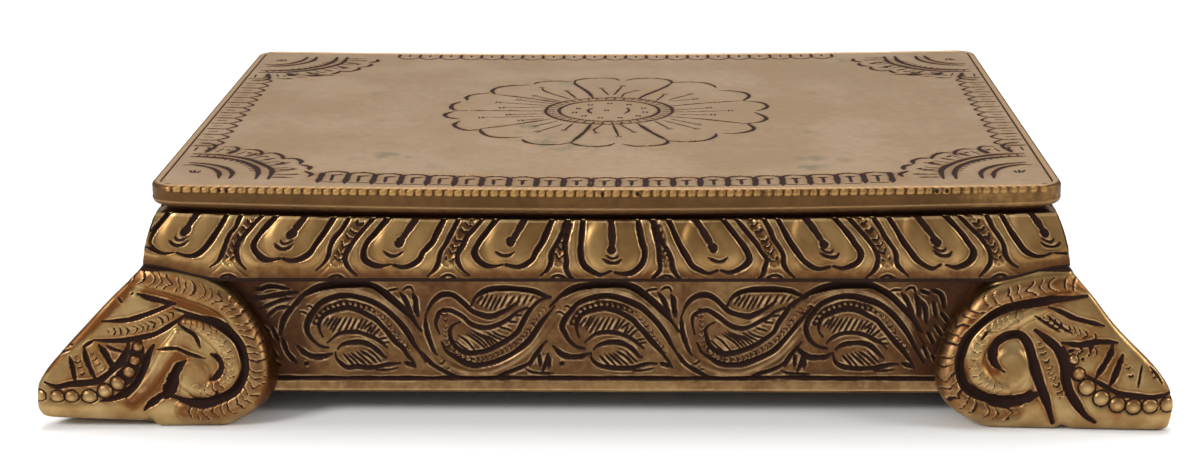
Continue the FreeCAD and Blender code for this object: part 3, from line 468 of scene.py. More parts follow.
    def scales(self, path: np.ndarray, width: float, pitch: float, lean: float, step: float,
               dark: float, gleam: float = 0.6) -> None:
        """Lay overlapping pointed scales along a band.

        Args:
            path: Middle line of the band.
            width: Width of the band.
            pitch: Spacing of the scales.
            lean: How far a scale's wings trail behind its point, in widths from the middle.
            step: Height of the step between two scales.
            dark: Share of each scale that lies in the dark cut.
            gleam: How bright the crests are painted, for rubbed wear and a painted highlight.
        """
        inside, apart, share = self.near(path, width)
        length = np.hypot(*np.diff(path, axis=0).T).sum()
        phase = self.hand.uniform(0.0, 6.0)
        (along, along_waves), (off, off_waves) = self.SCALE_WAVES
        run = (share * length + lean * apart) / pitch
        run = (run + along * np.sin(share * length * along_waves + phase)
               + off * np.sin(apart * off_waves + run))
        saw = run % 1.0
        within = (np.clip((0.5 * width - apart) / self.SCALE_EDGE, 0.0, 1.0)
                  * (share > self.SCALE_ENDS) * (share < 1.0 - self.SCALE_ENDS))
        self.raised[inside] += within * step * (saw - self.SCALE_REST)
        tip, tip_run = self.SCALE_TIP
        in_cut = (np.clip((dark - saw) / self.SCALE_SOFTNESS + 0.5, 0.0, 1.0)
                  + np.clip((saw - tip) / tip_run, 0.0, 1.0))
        raise_to(self.wax, inside, self.SCALE_WAX * within * np.minimum(in_cut, 1.0))
        # Rubbed wear and a painted highlight on each scale's crest
        crest, crest_run = self.SCALE_CREST
        rubbed = np.clip((saw - crest) / crest_run, 0.0, 1.0)
        raise_to(self.shine, inside, within * rubbed * gleam)

    def beads(self, path: np.ndarray, radius: float, pitch: float, height: float) -> None:
        """Sink a dark furrow along a path and set beads with a painted highlight in it."""
        width, depth, ends, wax = self.FURROW
        self.groove(path, width * radius, depth, ends, wax)
        ways = np.hypot(*np.diff(path, axis=0).T)
        passed = np.concatenate([[0.0], np.cumsum(ways)])
        for stop in np.arange(pitch * 0.5, passed[-1], pitch):
            spot = [np.interp(stop, passed, path[:, axis]) for axis in (0, 1)]
            spot = spot + self.hand.normal(0.0, self.BEAD_SLIP, 2)
            self.pearl((spot[0], spot[1]), radius, height, ring_share=0.0)

    def height(self) -> np.ndarray:
        """Total lift of each point, with shoulders rounded towards the cuts."""
        cuts = self.cuts.reshape(self.table)
        shoulder = soften(cuts, self.SHOULDER_SPREAD / self.cell) * self.shoulder
        burr = self.burr.reshape(self.table) * (cuts < 0.03)
        return self.raised.reshape(self.table) - np.maximum(cuts, shoulder) + burr

    def marks(self) -> dict[str, np.ndarray]:
        """Waxed fill of the cuts with painted shade, dirt with painted shade round the cuts, and
        painted highlights of each point, as the finishes read them.
        """
        wax = self.wax.reshape(self.table)
        # Painted highlight along the burrs, and painted shade spread round the cuts
        burr = soften(self.burr.reshape(self.table) / self.burr_height, self.BURR_SPREAD / self.cell)
        shine = np.maximum(self.shine.reshape(self.table), self.BURR_GLEAM * burr) * (1.0 - wax)
        grime_and_shade = np.clip(soften(wax, self.CUT_SHADE_SPREAD / self.cell) * self.CUT_SHADE_GAIN, 0.0, 1.0)
        return {"wax": wax, "grime_and_shade": np.maximum(grime_and_shade, self.darkening.reshape(self.table)),
                "shine": shine}

    def mark(self, marks: dict[str, np.ndarray], rows: slice) -> None:
        """Write its marks into some rows of a piece's marks."""
        for label, values in self.marks().items():
            marks[label][rows] = values


# Meshes


def deselect_all() -> None:
    """Deselect every object, so that an operator acts on the new one alone."""
    for item in bpy.context.selected_objects:
        item.select_set(False)


def normals_of(points: np.ndarray, closed: bool) -> np.ndarray:
    """Unit normals of a table of points.

    Args:
        points: Table of points, the first axis round the section.
        closed: True where the first axis closes on itself.

    Returns:
        A normal for each point.
    """
    if closed:
        around = np.roll(points, -1, axis=0) - np.roll(points, 1, axis=0)
    else:
        around = np.gradient(points, axis=0)
    along = np.gradient(points, axis=1)
    normal = np.cross(around, along)
    return normal / np.maximum(np.linalg.norm(normal, axis=-1, keepdims=True), 1e-12)


def blank_marks(shape: tuple[int, ...]) -> dict[str, np.ndarray]:
    """Marks of a clean piece."""
    return {label: np.zeros(shape) for label in MARKS}


def close_table(values: np.ndarray, ring: bool) -> np.ndarray:
    """Repeat the first line of a table at its end, and for a ring its first column too."""
    closed = np.concatenate([values, values[:1]], axis=0)
    return np.concatenate([closed, closed[:, :1]], axis=1) if ring else closed


def casting(name: str, points: np.ndarray, marks: dict[str, np.ndarray],
            material: bpy.types.Material, ring: bool = False) -> bpy.types.Object:
    """Make one closed mesh from a table of points round and along a casting.

    Args:
        name: Name of the piece.
        points: Table of points in millimetres, round the section and along the piece.
        marks: Values of each point for the finish.
        material: Its finish.
        ring: True where the piece also closes along its length.

    Returns:
        The new object.
    """
    closed = close_table(points, ring)
    rows, columns = closed.shape[:2]
    deselect_all()
    bpy.ops.mesh.primitive_grid_add(
        x_subdivisions=columns - 1, y_subdivisions=rows - 1, size=2.0, calc_uvs=False)
    piece = bpy.context.object
    piece.name = name
    mesh = piece.data
    mesh.name = name
    flat = np.empty(len(mesh.vertices) * 3)
    mesh.vertices.foreach_get("co", flat)
    flat = flat.reshape(-1, 3)
    column = np.rint((flat[:, 0] + 1.0) / 2.0 * (columns - 1)).astype(int)
    row = np.rint((flat[:, 1] + 1.0) / 2.0 * (rows - 1)).astype(int)
    mesh.vertices.foreach_set("co", (closed[row, column] * MM).ravel())
    for label, values in marks.items():
        layer = mesh.attributes.new(label, "FLOAT", "POINT")
        layer.data.foreach_set("value", close_table(values, ring)[row, column].astype(np.float32))
    close_mesh(ring)
    mesh.materials.append(material)
    return piece


def close_mesh(ring: bool) -> None:
    """Merge the seam of the active mesh, fill its ends and point its faces outwards."""
    bpy.ops.object.mode_set(mode="EDIT")
    bpy.ops.mesh.select_all(action="SELECT")
    bpy.ops.mesh.remove_doubles(threshold=SEAM)
    if not ring:
        bpy.ops.mesh.select_all(action="SELECT")
        bpy.ops.mesh.fill_holes(sides=0)
    bpy.ops.mesh.select_all(action="SELECT")
    bpy.ops.mesh.normals_make_consistent(inside=False)
    bpy.ops.object.mode_set(mode="OBJECT")
    bpy.ops.object.shade_smooth_by_angle(angle=CREASE)


def settle(piece: bpy.types.Object, slot: str, *nodes: str) -> None:
    """Fix a piece to the table and hide the nodes that it stands for."""
    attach(piece, BODY)
    if nodes:
        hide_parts(*nodes)
    log.info("%s: %d faces", piece.name, len(piece.data.polygons))


# Finishes


class Shade:
    """A number socket that takes part in sums."""

    def __init__(self, recipe: "Recipe", socket: bpy.types.NodeSocket) -> None:
        """Keep the socket and the recipe that its nodes go to."""
        self.recipe = recipe
        self.socket = socket

    def _sum(self, operation: str, first: Any, second: Any) -> "Shade":
        """Add a Math node of two values."""
        node = self.recipe.node("ShaderNodeMath", {"operation": operation}, {0: first, 1: second})
        return Shade(self.recipe, node.outputs[0])

    def __add__(self, other: Any) -> "Shade":
        """Sum of two values."""
        return self._sum("ADD", self, other)

    def __sub__(self, other: Any) -> "Shade":
        """Difference of two values."""
        return self._sum("SUBTRACT", self, other)

    def __rsub__(self, other: Any) -> "Shade":
        """Difference with the plain number first."""
        return self._sum("SUBTRACT", other, self)

    def __mul__(self, other: Any) -> "Shade":
        """Product of two values."""
        return self._sum("MULTIPLY", self, other)

    def between(self, low: float, high: float) -> "Shade":
        """Smooth step that rises from 0 at low to 1 at high."""
        node = self.recipe.node(
            "ShaderNodeMapRange", {"interpolation_type": "SMOOTHSTEP"},
            {"Value": self, "From Min": low, "From Max": high})
        return Shade(self.recipe, node.outputs[0])


class Recipe:
    """The nodes of one material."""

    def __init__(self, name: str) -> None:
        """Start an empty material with its output."""
        self.material = bpy.data.materials.new(name)
        self.material.use_nodes = True
        self.tree = self.material.node_tree
        self.tree.nodes.clear()
        self.output = self.node("ShaderNodeOutputMaterial")
        self.place = self.node("ShaderNodeTexCoord").outputs["Object"]

    def node(self, kind: str, settings: dict[str, Any] | None = None,
             sockets: dict[Any, Any] | None = None) -> bpy.types.Node:
        """Add a node.

        Args:
            kind: Its type.
            settings: Its own settings, set first.
            sockets: Values or links of its inputs, by name or number.

        Returns:
            The node.
        """
        node = self.tree.nodes.new(kind)
        for key, value in (settings or {}).items():
            setattr(node, key, value)
        for key, value in (sockets or {}).items():
            target = node.inputs[key]
            if isinstance(value, Shade):
                self.tree.links.new(value.socket, target)
            elif isinstance(value, bpy.types.NodeSocket):
                self.tree.links.new(value, target)
            else:
                target.default_value = value
        return node

    def mark(self, name: str) -> Shade:
        """Value that the mesh carries at each point."""
        node = self.node("ShaderNodeAttribute", {"attribute_name": name})
        return Shade(self, node.outputs["Fac"])

    def cloud(self, size: float, detail: float) -> Shade:
        """Soft noise whose patches are about a size in millimetres."""
        scale = METRE / size
        moved = self.node("ShaderNodeMapping", None, {
            "Vector": self.place, "Scale": (scale, scale, scale)})
        node = self.node("ShaderNodeTexNoise", None, {
            "Vector": moved.outputs[0], "Scale": 1.0, "Detail": detail, "Roughness": 0.55})
        return Shade(self, node.outputs["Fac"])

    def blend(self, share: Any, first: Any, second: Any) -> bpy.types.NodeSocket:
        """Mix two colours."""
        colours = [c + (1.0,) if isinstance(c, tuple) else c for c in (first, second)]
        node = self.node("ShaderNodeMix", {"data_type": "RGBA"}, {
            0: share, 6: colours[0], 7: colours[1]})
        return node.outputs[2]


def display(red: int, green: int, blue: int) -> Colour:
    """Colour as written for a screen, made linear for the shader."""
    def linear(part: int) -> float:
        share = part / 255.0
        return share / 12.92 if share <= 0.04045 else ((share + 0.055) / 1.055) ** 2.4
    return linear(red), linear(green), linear(blue)


@dataclass(frozen=True)
class BrassFinish:
    """Cast brass, rubbed bright on the high parts with painted highlights there, with the cuts waxed
    dark and painted shade round them and in recesses.
    """

    name: str
    bright: Colour
    body: Colour
    tarnish: Colour
    # Colour of dirt, and of painted shade in recesses and round the cuts
    grime_and_shade: Colour
    # Colour of the painted highlights
    gleam: Colour = display(222, 186, 132)
    gleam_share: float = 0.8
    # Colour of the dark fill of the cuts, also used as painted shade in gaps and under rims
    wax: Colour = display(42, 25, 19)
    roughness: float = 0.36
    patch: float = 22.0
    tarnish_share: float = 0.5
    stains: float = 0.0
    metallic: float = 1.0
    grain: float = 0.035
    # Tone of lit upper faces and highlighted lines, painted where the pale mark is
    pale: Colour | None = None
    fleck: float = 2.4
    pore: float = 0.55
    stain: Colour = display(122, 112, 84)
    stain_sizes: Point = (34.0, 5.0)
    wax_roughness: float = 0.85
    wax_gloss: float = 0.12

    def make(self) -> bpy.types.Material:
        """Build the material."""
        recipe = Recipe(self.name)
        wax = recipe.mark("wax")
        grime_and_shade = recipe.mark("grime_and_shade")
        shine = recipe.mark("shine")
        patches = recipe.cloud(self.patch, 4.0)
        flecks = recipe.cloud(self.fleck, 3.0)
        fine = recipe.cloud(self.pore, 2.0)
        rubbed = patches.between(0.36, 0.64) * (1.0 - grime_and_shade * 0.7)
        colour = recipe.blend(rubbed, self.body, self.bright)
        aged = (recipe.cloud(self.patch * 0.45, 5.0) + grime_and_shade * 0.35 + flecks * 0.25).between(
            0.62, 1.02) * self.tarnish_share
        colour = recipe.blend(aged, colour, self.tarnish)
        # Dirt and painted shade darken the colour
        dirty = (grime_and_shade * 1.25 + (flecks - 0.5) * 0.7).between(0.25, 0.95) * 0.8
        colour = recipe.blend(dirty, colour, self.grime_and_shade)
        if self.stains:
            wide, small = self.stain_sizes
            spots = (recipe.cloud(wide, 2.0).between(0.60, 0.72)
                     * recipe.cloud(small, 4.0).between(0.42, 0.62) * self.stains)
            colour = recipe.blend(spots, colour, self.stain)
        if self.pale:
            colour = recipe.blend(recipe.mark("pale"), colour, self.pale)
        # Painted highlight where the shine mark is
        gleam = (shine + (flecks - 0.5) * 0.6).between(0.25, 0.9) * self.gleam_share
        colour = recipe.blend(gleam, colour, self.gleam)
        # The waxed fill of the cuts and the painted shade go to the dull shader
        dark = (wax + (fine - 0.5) * 0.35 + (flecks - 0.5) * 0.25).between(0.28, 0.68)
        pores = fine.between(0.30, 0.36)
        height = patches * 0.5 + flecks * 0.5 + fine * 0.35 + pores * 0.2
        bump = recipe.node("ShaderNodeBump", None, {
            "Strength": 1.0, "Distance": self.grain * MM, "Height": height})
        rough = (flecks - 0.5) * 0.16 + aged * 0.12 - gleam * 0.08 + self.roughness
        brass = recipe.node("ShaderNodeBsdfPrincipled", None, {
            "Base Color": colour, "Metallic": self.metallic,
            "Roughness": rough, "Normal": bump.outputs[0]})
        dull = recipe.node("ShaderNodeBsdfPrincipled", None, {
            "Base Color": self.wax + (1.0,), "Roughness": self.wax_roughness,
            "Specular IOR Level": self.wax_gloss, "Normal": bump.outputs[0]})
        shader = recipe.node("ShaderNodeMixShader", None, {
            0: dark, 1: brass.outputs[0], 2: dull.outputs[0]})
        recipe.tree.links.new(shader.outputs[0], recipe.output.inputs["Surface"])
        return recipe.material


# The upright pieces' finishes are set darker than the top's, in part as painted shade of their upright
# faces.
TOP_FINISH = BrassFinish(
    "satin_brass", bright=display(177, 149, 118), body=display(165, 135, 100),
    tarnish=display(148, 116, 80), grime_and_shade=display(132, 98, 62), wax=display(44, 27, 22),
    gleam=display(182, 156, 124), gleam_share=0.12,
    roughness=0.42, patch=38.0, tarnish_share=0.55, stains=0.8)
FRIEZE_FINISH = BrassFinish(
    "petal_brass", bright=display(172, 137, 88), body=display(134, 101, 60),
    tarnish=display(108, 70, 40), grime_and_shade=display(80, 47, 28))
SKIRT_FINISH = BrassFinish(
    "vine_brass", bright=display(142, 111, 71), body=display(107, 76, 48),
    tarnish=display(86, 52, 32), grime_and_shade=display(58, 35, 24), gleam=display(216, 180, 130),
    roughness=0.38)
FOOT_FINISH = BrassFinish(
    "foot_brass", bright=display(178, 150, 101), body=display(147, 115, 72),
    tarnish=display(136, 84, 40), grime_and_shade=display(100, 56, 27), patch=14.0, tarnish_share=0.65)
# The plate's upright faces get painted shade from this dark body. The pale mark paints the top's lit
# tone back on the ring's upper faces and a highlight along its lower edge.
EDGE_FINISH = BrassFinish(
    "edge_brass", bright=display(102, 74, 45), body=display(88, 63, 38),
    tarnish=display(68, 47, 29), grime_and_shade=display(54, 36, 23), gleam=display(188, 145, 88),
    roughness=0.5, patch=14.0, pale=display(167, 136, 100))
BRACKET_FINISH = BrassFinish(
    "raw_brass", bright=display(138, 110, 70), body=display(116, 88, 54),
    tarnish=display(88, 62, 38), grime_and_shade=display(70, 46, 28), roughness=0.55, grain=0.12)
SCREW_FINISH = BrassFinish(
    "turned_brass", bright=display(186, 156, 100), body=display(164, 132, 80),
    tarnish=display(120, 88, 50), grime_and_shade=display(90, 60, 34), roughness=0.32, patch=6.0)
FINISHES: dict[str, bpy.types.Material] = {}


# Strips along the sides. A pair whose name ends in shade, run or fade says where a
# change starts and over what way it happens.


@dataclass
class MitredStrip:
    """A casting along one side, whose ends meet its neighbours at 45 degrees."""

    side: Side
    cell: float = 0.32

    def table(self, places: np.ndarray, outward: np.ndarray, level: np.ndarray) -> np.ndarray:
        """Lay out the points of a strip on the front.

        Args:
            places: Shares of the run, from -1 to 1.
            outward: How far out each line of the section lies from the side of the top.
            level: Height of each line of the section.

        Returns:
            Table of points, round the section and along the strip.
        """
        share, out = np.meshgrid(places, outward)
        x = share * (self.side.half_run + out)
        y = -(self.side.distance + out)
        z = np.repeat(level[:, None], places.size, axis=1)
        return np.stack([x, y, z], axis=-1)


# One lotus petal, in millimetres from the dot of its stem: the half that is
# drawn is mirrored for the other half.
PETAL_INNER = line(1.45, 7.0, 6.6, 8.2, 2.6, 8.5, 0.0, 8.2, -2.9, 7.1, -5.1, 4.9, -6.8, 2.8, -7.3,
                   0.5, -6.6, depth=0.95, ends=(0.75, 0.55))
PETAL_OUTER = line(1.2, 11.0, 6.6, 12.0, 4.0, 12.4, 1.5, 12.4, -0.7, 12.4, -3.3, 12.2, -5.9, 11.2,
                   -8.1, 9.4, -9.9, depth=0.8, ends=(0.7, 0.45))
PETAL_STEM = line(1.75, 0.0, 6.6, 0.1, 3.0, 0.0, 0.0, depth=0.7, ends=(1.1, 0.7))
PETAL_DOT = line(2.3, 0.0, 0.15, 0.0, -0.15, depth=0.8, ends=(1.0, 1.0))
PETAL_SMILE = line(0.85, -2.5, -2.6, -1.3, -3.6, 0.2, -4.0, 1.6, -3.6, 2.5, -2.7, depth=0.5,
                   ends=(0.5, 0.5))
PETAL_SMALL_SMILE = line(0.55, -1.7, -1.5, -0.9, -2.3, 0.1, -2.6, 1.1, -2.2, 1.7, -1.5, depth=0.3,
                         ends=(0.5, 0.5))
# The column between two petals, from a little below that dot
COLUMN = line(3.3, 0.0, 7.5, 0.0, 1.0, 0.0, -4.8, depth=0.4, ends=(0.9, 1.0))
COLUMN_SPREAD = line(0.9, -6.4, -10.8, -3.8, -9.0, -1.9, -7.2, -0.7, -5.5, 0.0, -5.0, 0.7, -5.5,
                     1.9, -7.2, 3.8, -9.0, 6.4, -10.8, depth=0.4, ends=(0.5, 0.5))
COLUMN_ARC = line(0.75, -2.3, -10.2, -1.1, -9.4, 0.0, -9.1, 1.1, -9.4, 2.3, -10.2, depth=0.45,
                  ends=(0.5, 0.5))


@dataclass
class LotusFrieze(MitredStrip):
    """Band of lotus petals under the top plate."""

    neck_curve: tuple[Point, ...] = ((-4.2, PLATE_UNDERSIDE), (-4.5, 59.4), (-4.3, 58.7),
                                     (-3.6, 58.2), (-2.7, 58.0))
    neck_bottom: float = 57.9
    face_top_inset: float = 2.0
    face_inset: float = 0.12
    bulge: float = 0.85
    lip_level: float = 41.1
    lip_curve: tuple[Point, ...] = ((0.0, 40.8), (0.0, 40.4), (0.1, 40.0), (0.4, 39.7), (0.9, 39.5))
    bottom_level: float = 39.5
    wall_middle: float = 46.0
    flange_underside: float = 56.2
    end_rise: float = 4.4
    end_rise_run: float = 21.0
    rise_fades_at: float = 50.0
    dot_level: float = 51.4
    pitch: float = 28.7
    front_dots: tuple[float, ...] = (-112.6, -84.0, -54.6, -24.9, 2.1, 28.8, 58.2, 87.9, 117.0)
    front_lifts: tuple[float, ...] = (2.2, 1.8, 0.1, 0.3, -1.8, -1.4, -0.3, -0.1, 1.8)
    side_petals: int = 7
    side_lift: float = 0.6
    lean: float = 0.5
    full_lean_at: float = 20.0
    end_lean_share: float = 0.7
    leans_above: float = -2.9
    stretch_above: float = 6.0
    stretch: float = 4.0
    belly_place: Point = (1.5, 0.5)
    belly_halves: Point = (7.4, 9.5)
    belly_height: float = 0.6
    border_width: float = 3.2
    border_height: float = 0.45
    column_drop: float = 0.6
    column_wax: float = 0.24
    # Painted highlight on the upper arris, painted shade in the neck under the plate and under the
    # lip, and painted shade over the lowest rim_height of the face
    arris_shine: float = 0.66
    neck_shade: float = 0.5
    under_rim_shade: float = 0.9
    rim_height: float = 6.4
    rim_shade: float = 0.68
    seed: int = 11

    def section(self) -> tuple[np.ndarray, np.ndarray, int, int]:
        """Lines of the section.

        Returns:
            Outward places, levels, and the first and past-last line of the carved face.
        """
        count = int((self.neck_bottom - self.lip_level) / self.cell)
        level = np.linspace(self.neck_bottom, self.lip_level, count)
        share = (self.neck_bottom - level) / (self.neck_bottom - self.lip_level)
        out = (-self.face_top_inset + share * (FRIEZE_LIP + self.face_top_inset)
               + self.bulge * 4.0 * share * (1.0 - share))
        lip = [(FRIEZE_LIP - inset, height) for inset, height in self.lip_curve]
        wall = [(0.0, self.bottom_level), (-WALL_INSET, self.bottom_level),
                (-WALL_INSET, self.wall_middle), (-WALL_INSET, self.flange_underside),
                (-FLANGE_INSET, self.flange_underside), (-FLANGE_INSET, PLATE_UNDERSIDE)]
        outward, levels = np.array([*self.neck_curve, *zip(out, level), *lip, *wall]).T
        first = len(self.neck_curve)
        return outward, levels, first, first + count

    def dots(self) -> list[float]:
        """Places of the petals' stems along the strip."""
        if self.side is Side.FRONT:
            return list(self.front_dots)
        if self.side is Side.BACK:
            return [-place for place in reversed(self.front_dots)]
        middle = (self.side_petals - 1) / 2.0
        return [(number - middle) * self.pitch for number in range(self.side_petals)]

    def lifts(self) -> list[float]:
        """How much higher or lower each petal is drawn."""
        if self.side is Side.FRONT:
            return list(self.front_lifts)
        if self.side is Side.BACK:
            return list(reversed(self.front_lifts))
        return [self.side_lift] * self.side_petals

    def petal(self, relief: Relief, dot: float, lean: float, lift: float) -> None:
        """Chase one petal.

        Args:
            relief: The face.
            dot: Place of its stem.
            lean: How far its upper part leans across for each millimetre up.
            lift: How much higher it is drawn.
        """
        def place(points: np.ndarray) -> np.ndarray:
            up = points[:, 1] + np.where(points[:, 1] > self.stretch_above, self.stretch, 0.0)
            across = dot + points[:, 0] + lean * np.maximum(up, self.leans_above)
            return np.stack([across, self.dot_level + lift + up], axis=1)

        shift, rise = self.belly_place
        relief.dome((dot + shift * lean, self.dot_level + lift + rise), self.belly_halves,
                    self.belly_height)
        for side in (-1.0, 1.0):
            border = [(side * (a + b) / 2, (c + d) / 2) for (a, c), (b, d) in zip(
                PETAL_INNER.points, PETAL_OUTER.points)]
            relief.roll(relief.path(border, place), self.border_width, self.border_height,
                        ends=(0.8, 0.5))
        for side in (-1.0, 1.0):
            for half in (PETAL_INNER, PETAL_OUTER):
                points = tuple((side * a, b) for a, b in half.points)
                relief.cut(replace(half, points=points), place, 0.12)
        relief.cut(PETAL_STEM, place, 0.08)
        relief.cut(PETAL_DOT, place, 0.1)
        relief.cut(PETAL_SMILE, place, 0.08)
        if relief.hand.uniform() < 0.5:
            relief.cut(PETAL_SMALL_SMILE, place, 0.05)

    def column(self, relief: Relief, middle: float, lean: float) -> None:
        """Chase the column of scales between two petals, and its spread foot."""
        def place(points: np.ndarray) -> np.ndarray:
            up = points[:, 1]
            across = middle + points[:, 0] + lean * np.maximum(up, self.leans_above)
            return np.stack([across, self.dot_level - self.column_drop + up], axis=1)

        stem = relief.path(COLUMN.points, place)
        relief.groove(stem, COLUMN.width, COLUMN.depth, COLUMN.ends, self.column_wax)
        relief.scales(stem, width=2.9, pitch=2.2, lean=0.7, step=0.6, dark=0.36, gleam=1.0)
        relief.roll(relief.path(COLUMN_SPREAD.points, place), COLUMN_SPREAD.width,
                    COLUMN_SPREAD.depth, COLUMN_SPREAD.ends)
        relief.cut(COLUMN_ARC, place, 0.1, wax=0.95)

    def chase(self, relief: Relief) -> None:
        """Chase the whole row of petals and columns."""
        dots = np.array(self.dots())
        leans = -self.lean * np.clip(dots / self.full_lean_at, -1.0, 1.0)
        leans[[0, -1]] *= self.end_lean_share
        for dot, lean, lift in zip(dots, leans, self.lifts()):
            self.petal(relief, dot, lean, lift)
        for middle, lean in zip((dots[:-1] + dots[1:]) / 2.0, (leans[:-1] + leans[1:]) / 2.0):
            self.column(relief, middle, lean)

    def build(self) -> bpy.types.Object:
        """Carve and close the strip."""
        outward, levels, first, last = self.section()
        carved = slice(first, last)
        run = self.side.half_run
        places = np.linspace(-1.0, 1.0, int(2 * run / self.cell))
        points = self.table(places, outward, levels)
        across, up = np.meshgrid(places * run, levels[carved])
        relief = Relief(across, up, self.cell, self.seed + self.side.value)
        self.chase(relief)
        normals = normals_of(points[carved], False)
        outside = -1.0 if normals[0, normals.shape[1] // 2, 1] > 0 else 1.0
        points[carved] += normals * outside * (relief.height() - self.face_inset)[..., None]
        marks = blank_marks(points.shape[:2])
        relief.mark(marks, carved)
        # Painted shade in the neck under the plate, a painted highlight on the upper arris, and
        # painted shade under the lip
        marks["wax"][:first - 1] = self.neck_shade
        marks["grime_and_shade"][:first - 1] = 1.0
        marks["shine"][first - 1:first + 3] = self.arris_shine
        marks["wax"][last:last + len(self.lip_curve) + 1] = self.under_rim_shade
        # Painted shade over the lower part of the face
        low = ease((self.lip_level + self.rim_height - up) / self.rim_height)
        raise_to(marks["grime_and_shade"], carved, self.rim_shade * low)
        fade = np.clip((self.rise_fades_at - points[..., 2])
                       / (self.rise_fades_at - self.bottom_level), 0.0, 1.0)
        start = run + FRIEZE_LIP - self.end_rise_run
        points[..., 2] += fade * self.end_rise * ease(
            (np.abs(points[..., 0]) - start) / self.end_rise_run)
        node = "lotus_frieze_" + self.side.label
        placed = Sag().apply(self.side.turn(points))
        piece = casting(node + "_carved", placed, marks, FINISHES["frieze_brass"])
        settle(piece, "frieze_brass", node)
        return piece


# The running vine, drawn on squared paper. Down is the second number, from the
# upper edge of the skirt. The rising bend and the falling bend take turns.
VINE_PAPER = 150.0
RISING_BEND = (
    line(6.0, -6, 33, 0, 27, 10, 19, 25, 12, 43, 8.5, 62, 7, 82, 8, 96, 13, 108, 21.5, 120, 32,
         133, 45, 141, 56, 145, 61),
    line(5.5, 35, 81, 25, 79, 16, 72, 11, 64, 9.5, 56, 13, 47, 18, 40, 26, 31, 37, 25, 50, 21.5,
         64, 21, 78, 23.5, 90, 28, 101, 34, 111, 42, 120, 52, 129, 64, 136, 76, 143, 87, 149, 96),
    line(4.8, 29, 68, 25.5, 61, 25, 54, 29, 45, 37, 40, 48, 36.5, 60, 35, 72, 38, 83, 43, 92, 49,
         99, 56, 106, 64, 114, 73, 122, 81, 129, 90, 134, 97, 137, 103),
    line(5.2, -2, 79, 6, 87, 15, 91, 24, 92, 34, 90, 39, 87),
    line(3.6, 34, 75, 40, 70, 48, 65, 58, 62.5, 70, 63, 80, 65.5, 90, 70, 98, 75, 104, 81),
    line(4.6, 45, 82, 52, 77, 62, 74.5, 75, 74.5, 85, 78, 93, 84, 99, 90, 102, 92),
    line(4.2, 42, 86, 43, 93, 48, 99, 56, 103, 68, 104, 80, 104, 90, 103, 100, 101, 110, 99.5,
         119, 98.5),
    line(2.2, 90, 107, 104, 106, 117, 104.5),
    line(3.0, 42, 45, 34, 57), line(3.0, 52, 45, 40, 63), line(3.0, 64, 45, 55, 61),
    line(3.0, 76, 47, 69, 60), line(3.0, 87, 52, 78, 58), line(3.0, 86, 56, 81, 63),
    line(3.0, 96, 59, 87, 67), line(2.4, 96, 71, 104, 69.5), line(2.4, 99, 75, 107, 74.5),
    line(3.2, 52, 88, 64, 101), line(3.2, 62, 86, 78, 100), line(3.2, 72, 84, 82, 90, 91, 98),
    line(4.0, 5, 100, 10, 99), line(4.0, 124, 98, 136, 102),
    line(2.6, 47, 45, 37, 60), line(2.6, 58, 45, 47.5, 62), line(2.6, 70, 45.5, 61.5, 61),
    line(2.6, 81.5, 49, 73.5, 59), line(2.6, 91.5, 55, 84, 65), line(2.6, 36, 47, 30, 55),
    line(2.4, 57, 87, 71, 101), line(2.4, 67, 85, 85, 100), line(2.4, 82, 84, 90, 91, 96, 97),
    line(2.2, 2, 40, 6, 39, 11, 42), line(2.2, 11, 33, 15, 32, 17.5, 35),
    line(4.5, 121, 17, 127, 26, 133, 40, 135, 44), line(5.0, 136, 19, 139, 26, 140, 35, 142, 44),
    line(2.6, 106, 17, 110, 14, 120, 13), line(2.6, 123, 15, 129, 11, 134, 11, 137, 17),
)
RISING_STEM = ((4, 46), (8, 35), (15, 26.5), (26, 20.5), (40, 16.5), (56, 14), (71, 15), (86, 19),
               (98, 25.5), (109, 33), (120, 42), (131, 54), (138.5, 66), (145, 76))
RISING_BEADS = ((20, 52), (26.5, 42), (36, 35), (45, 32), (55, 29.5), (65, 30.5), (73.5, 32.5),
                (83, 34.5), (92, 40), (102, 47.5), (109, 56), (115, 64), (121, 74), (132, 85))
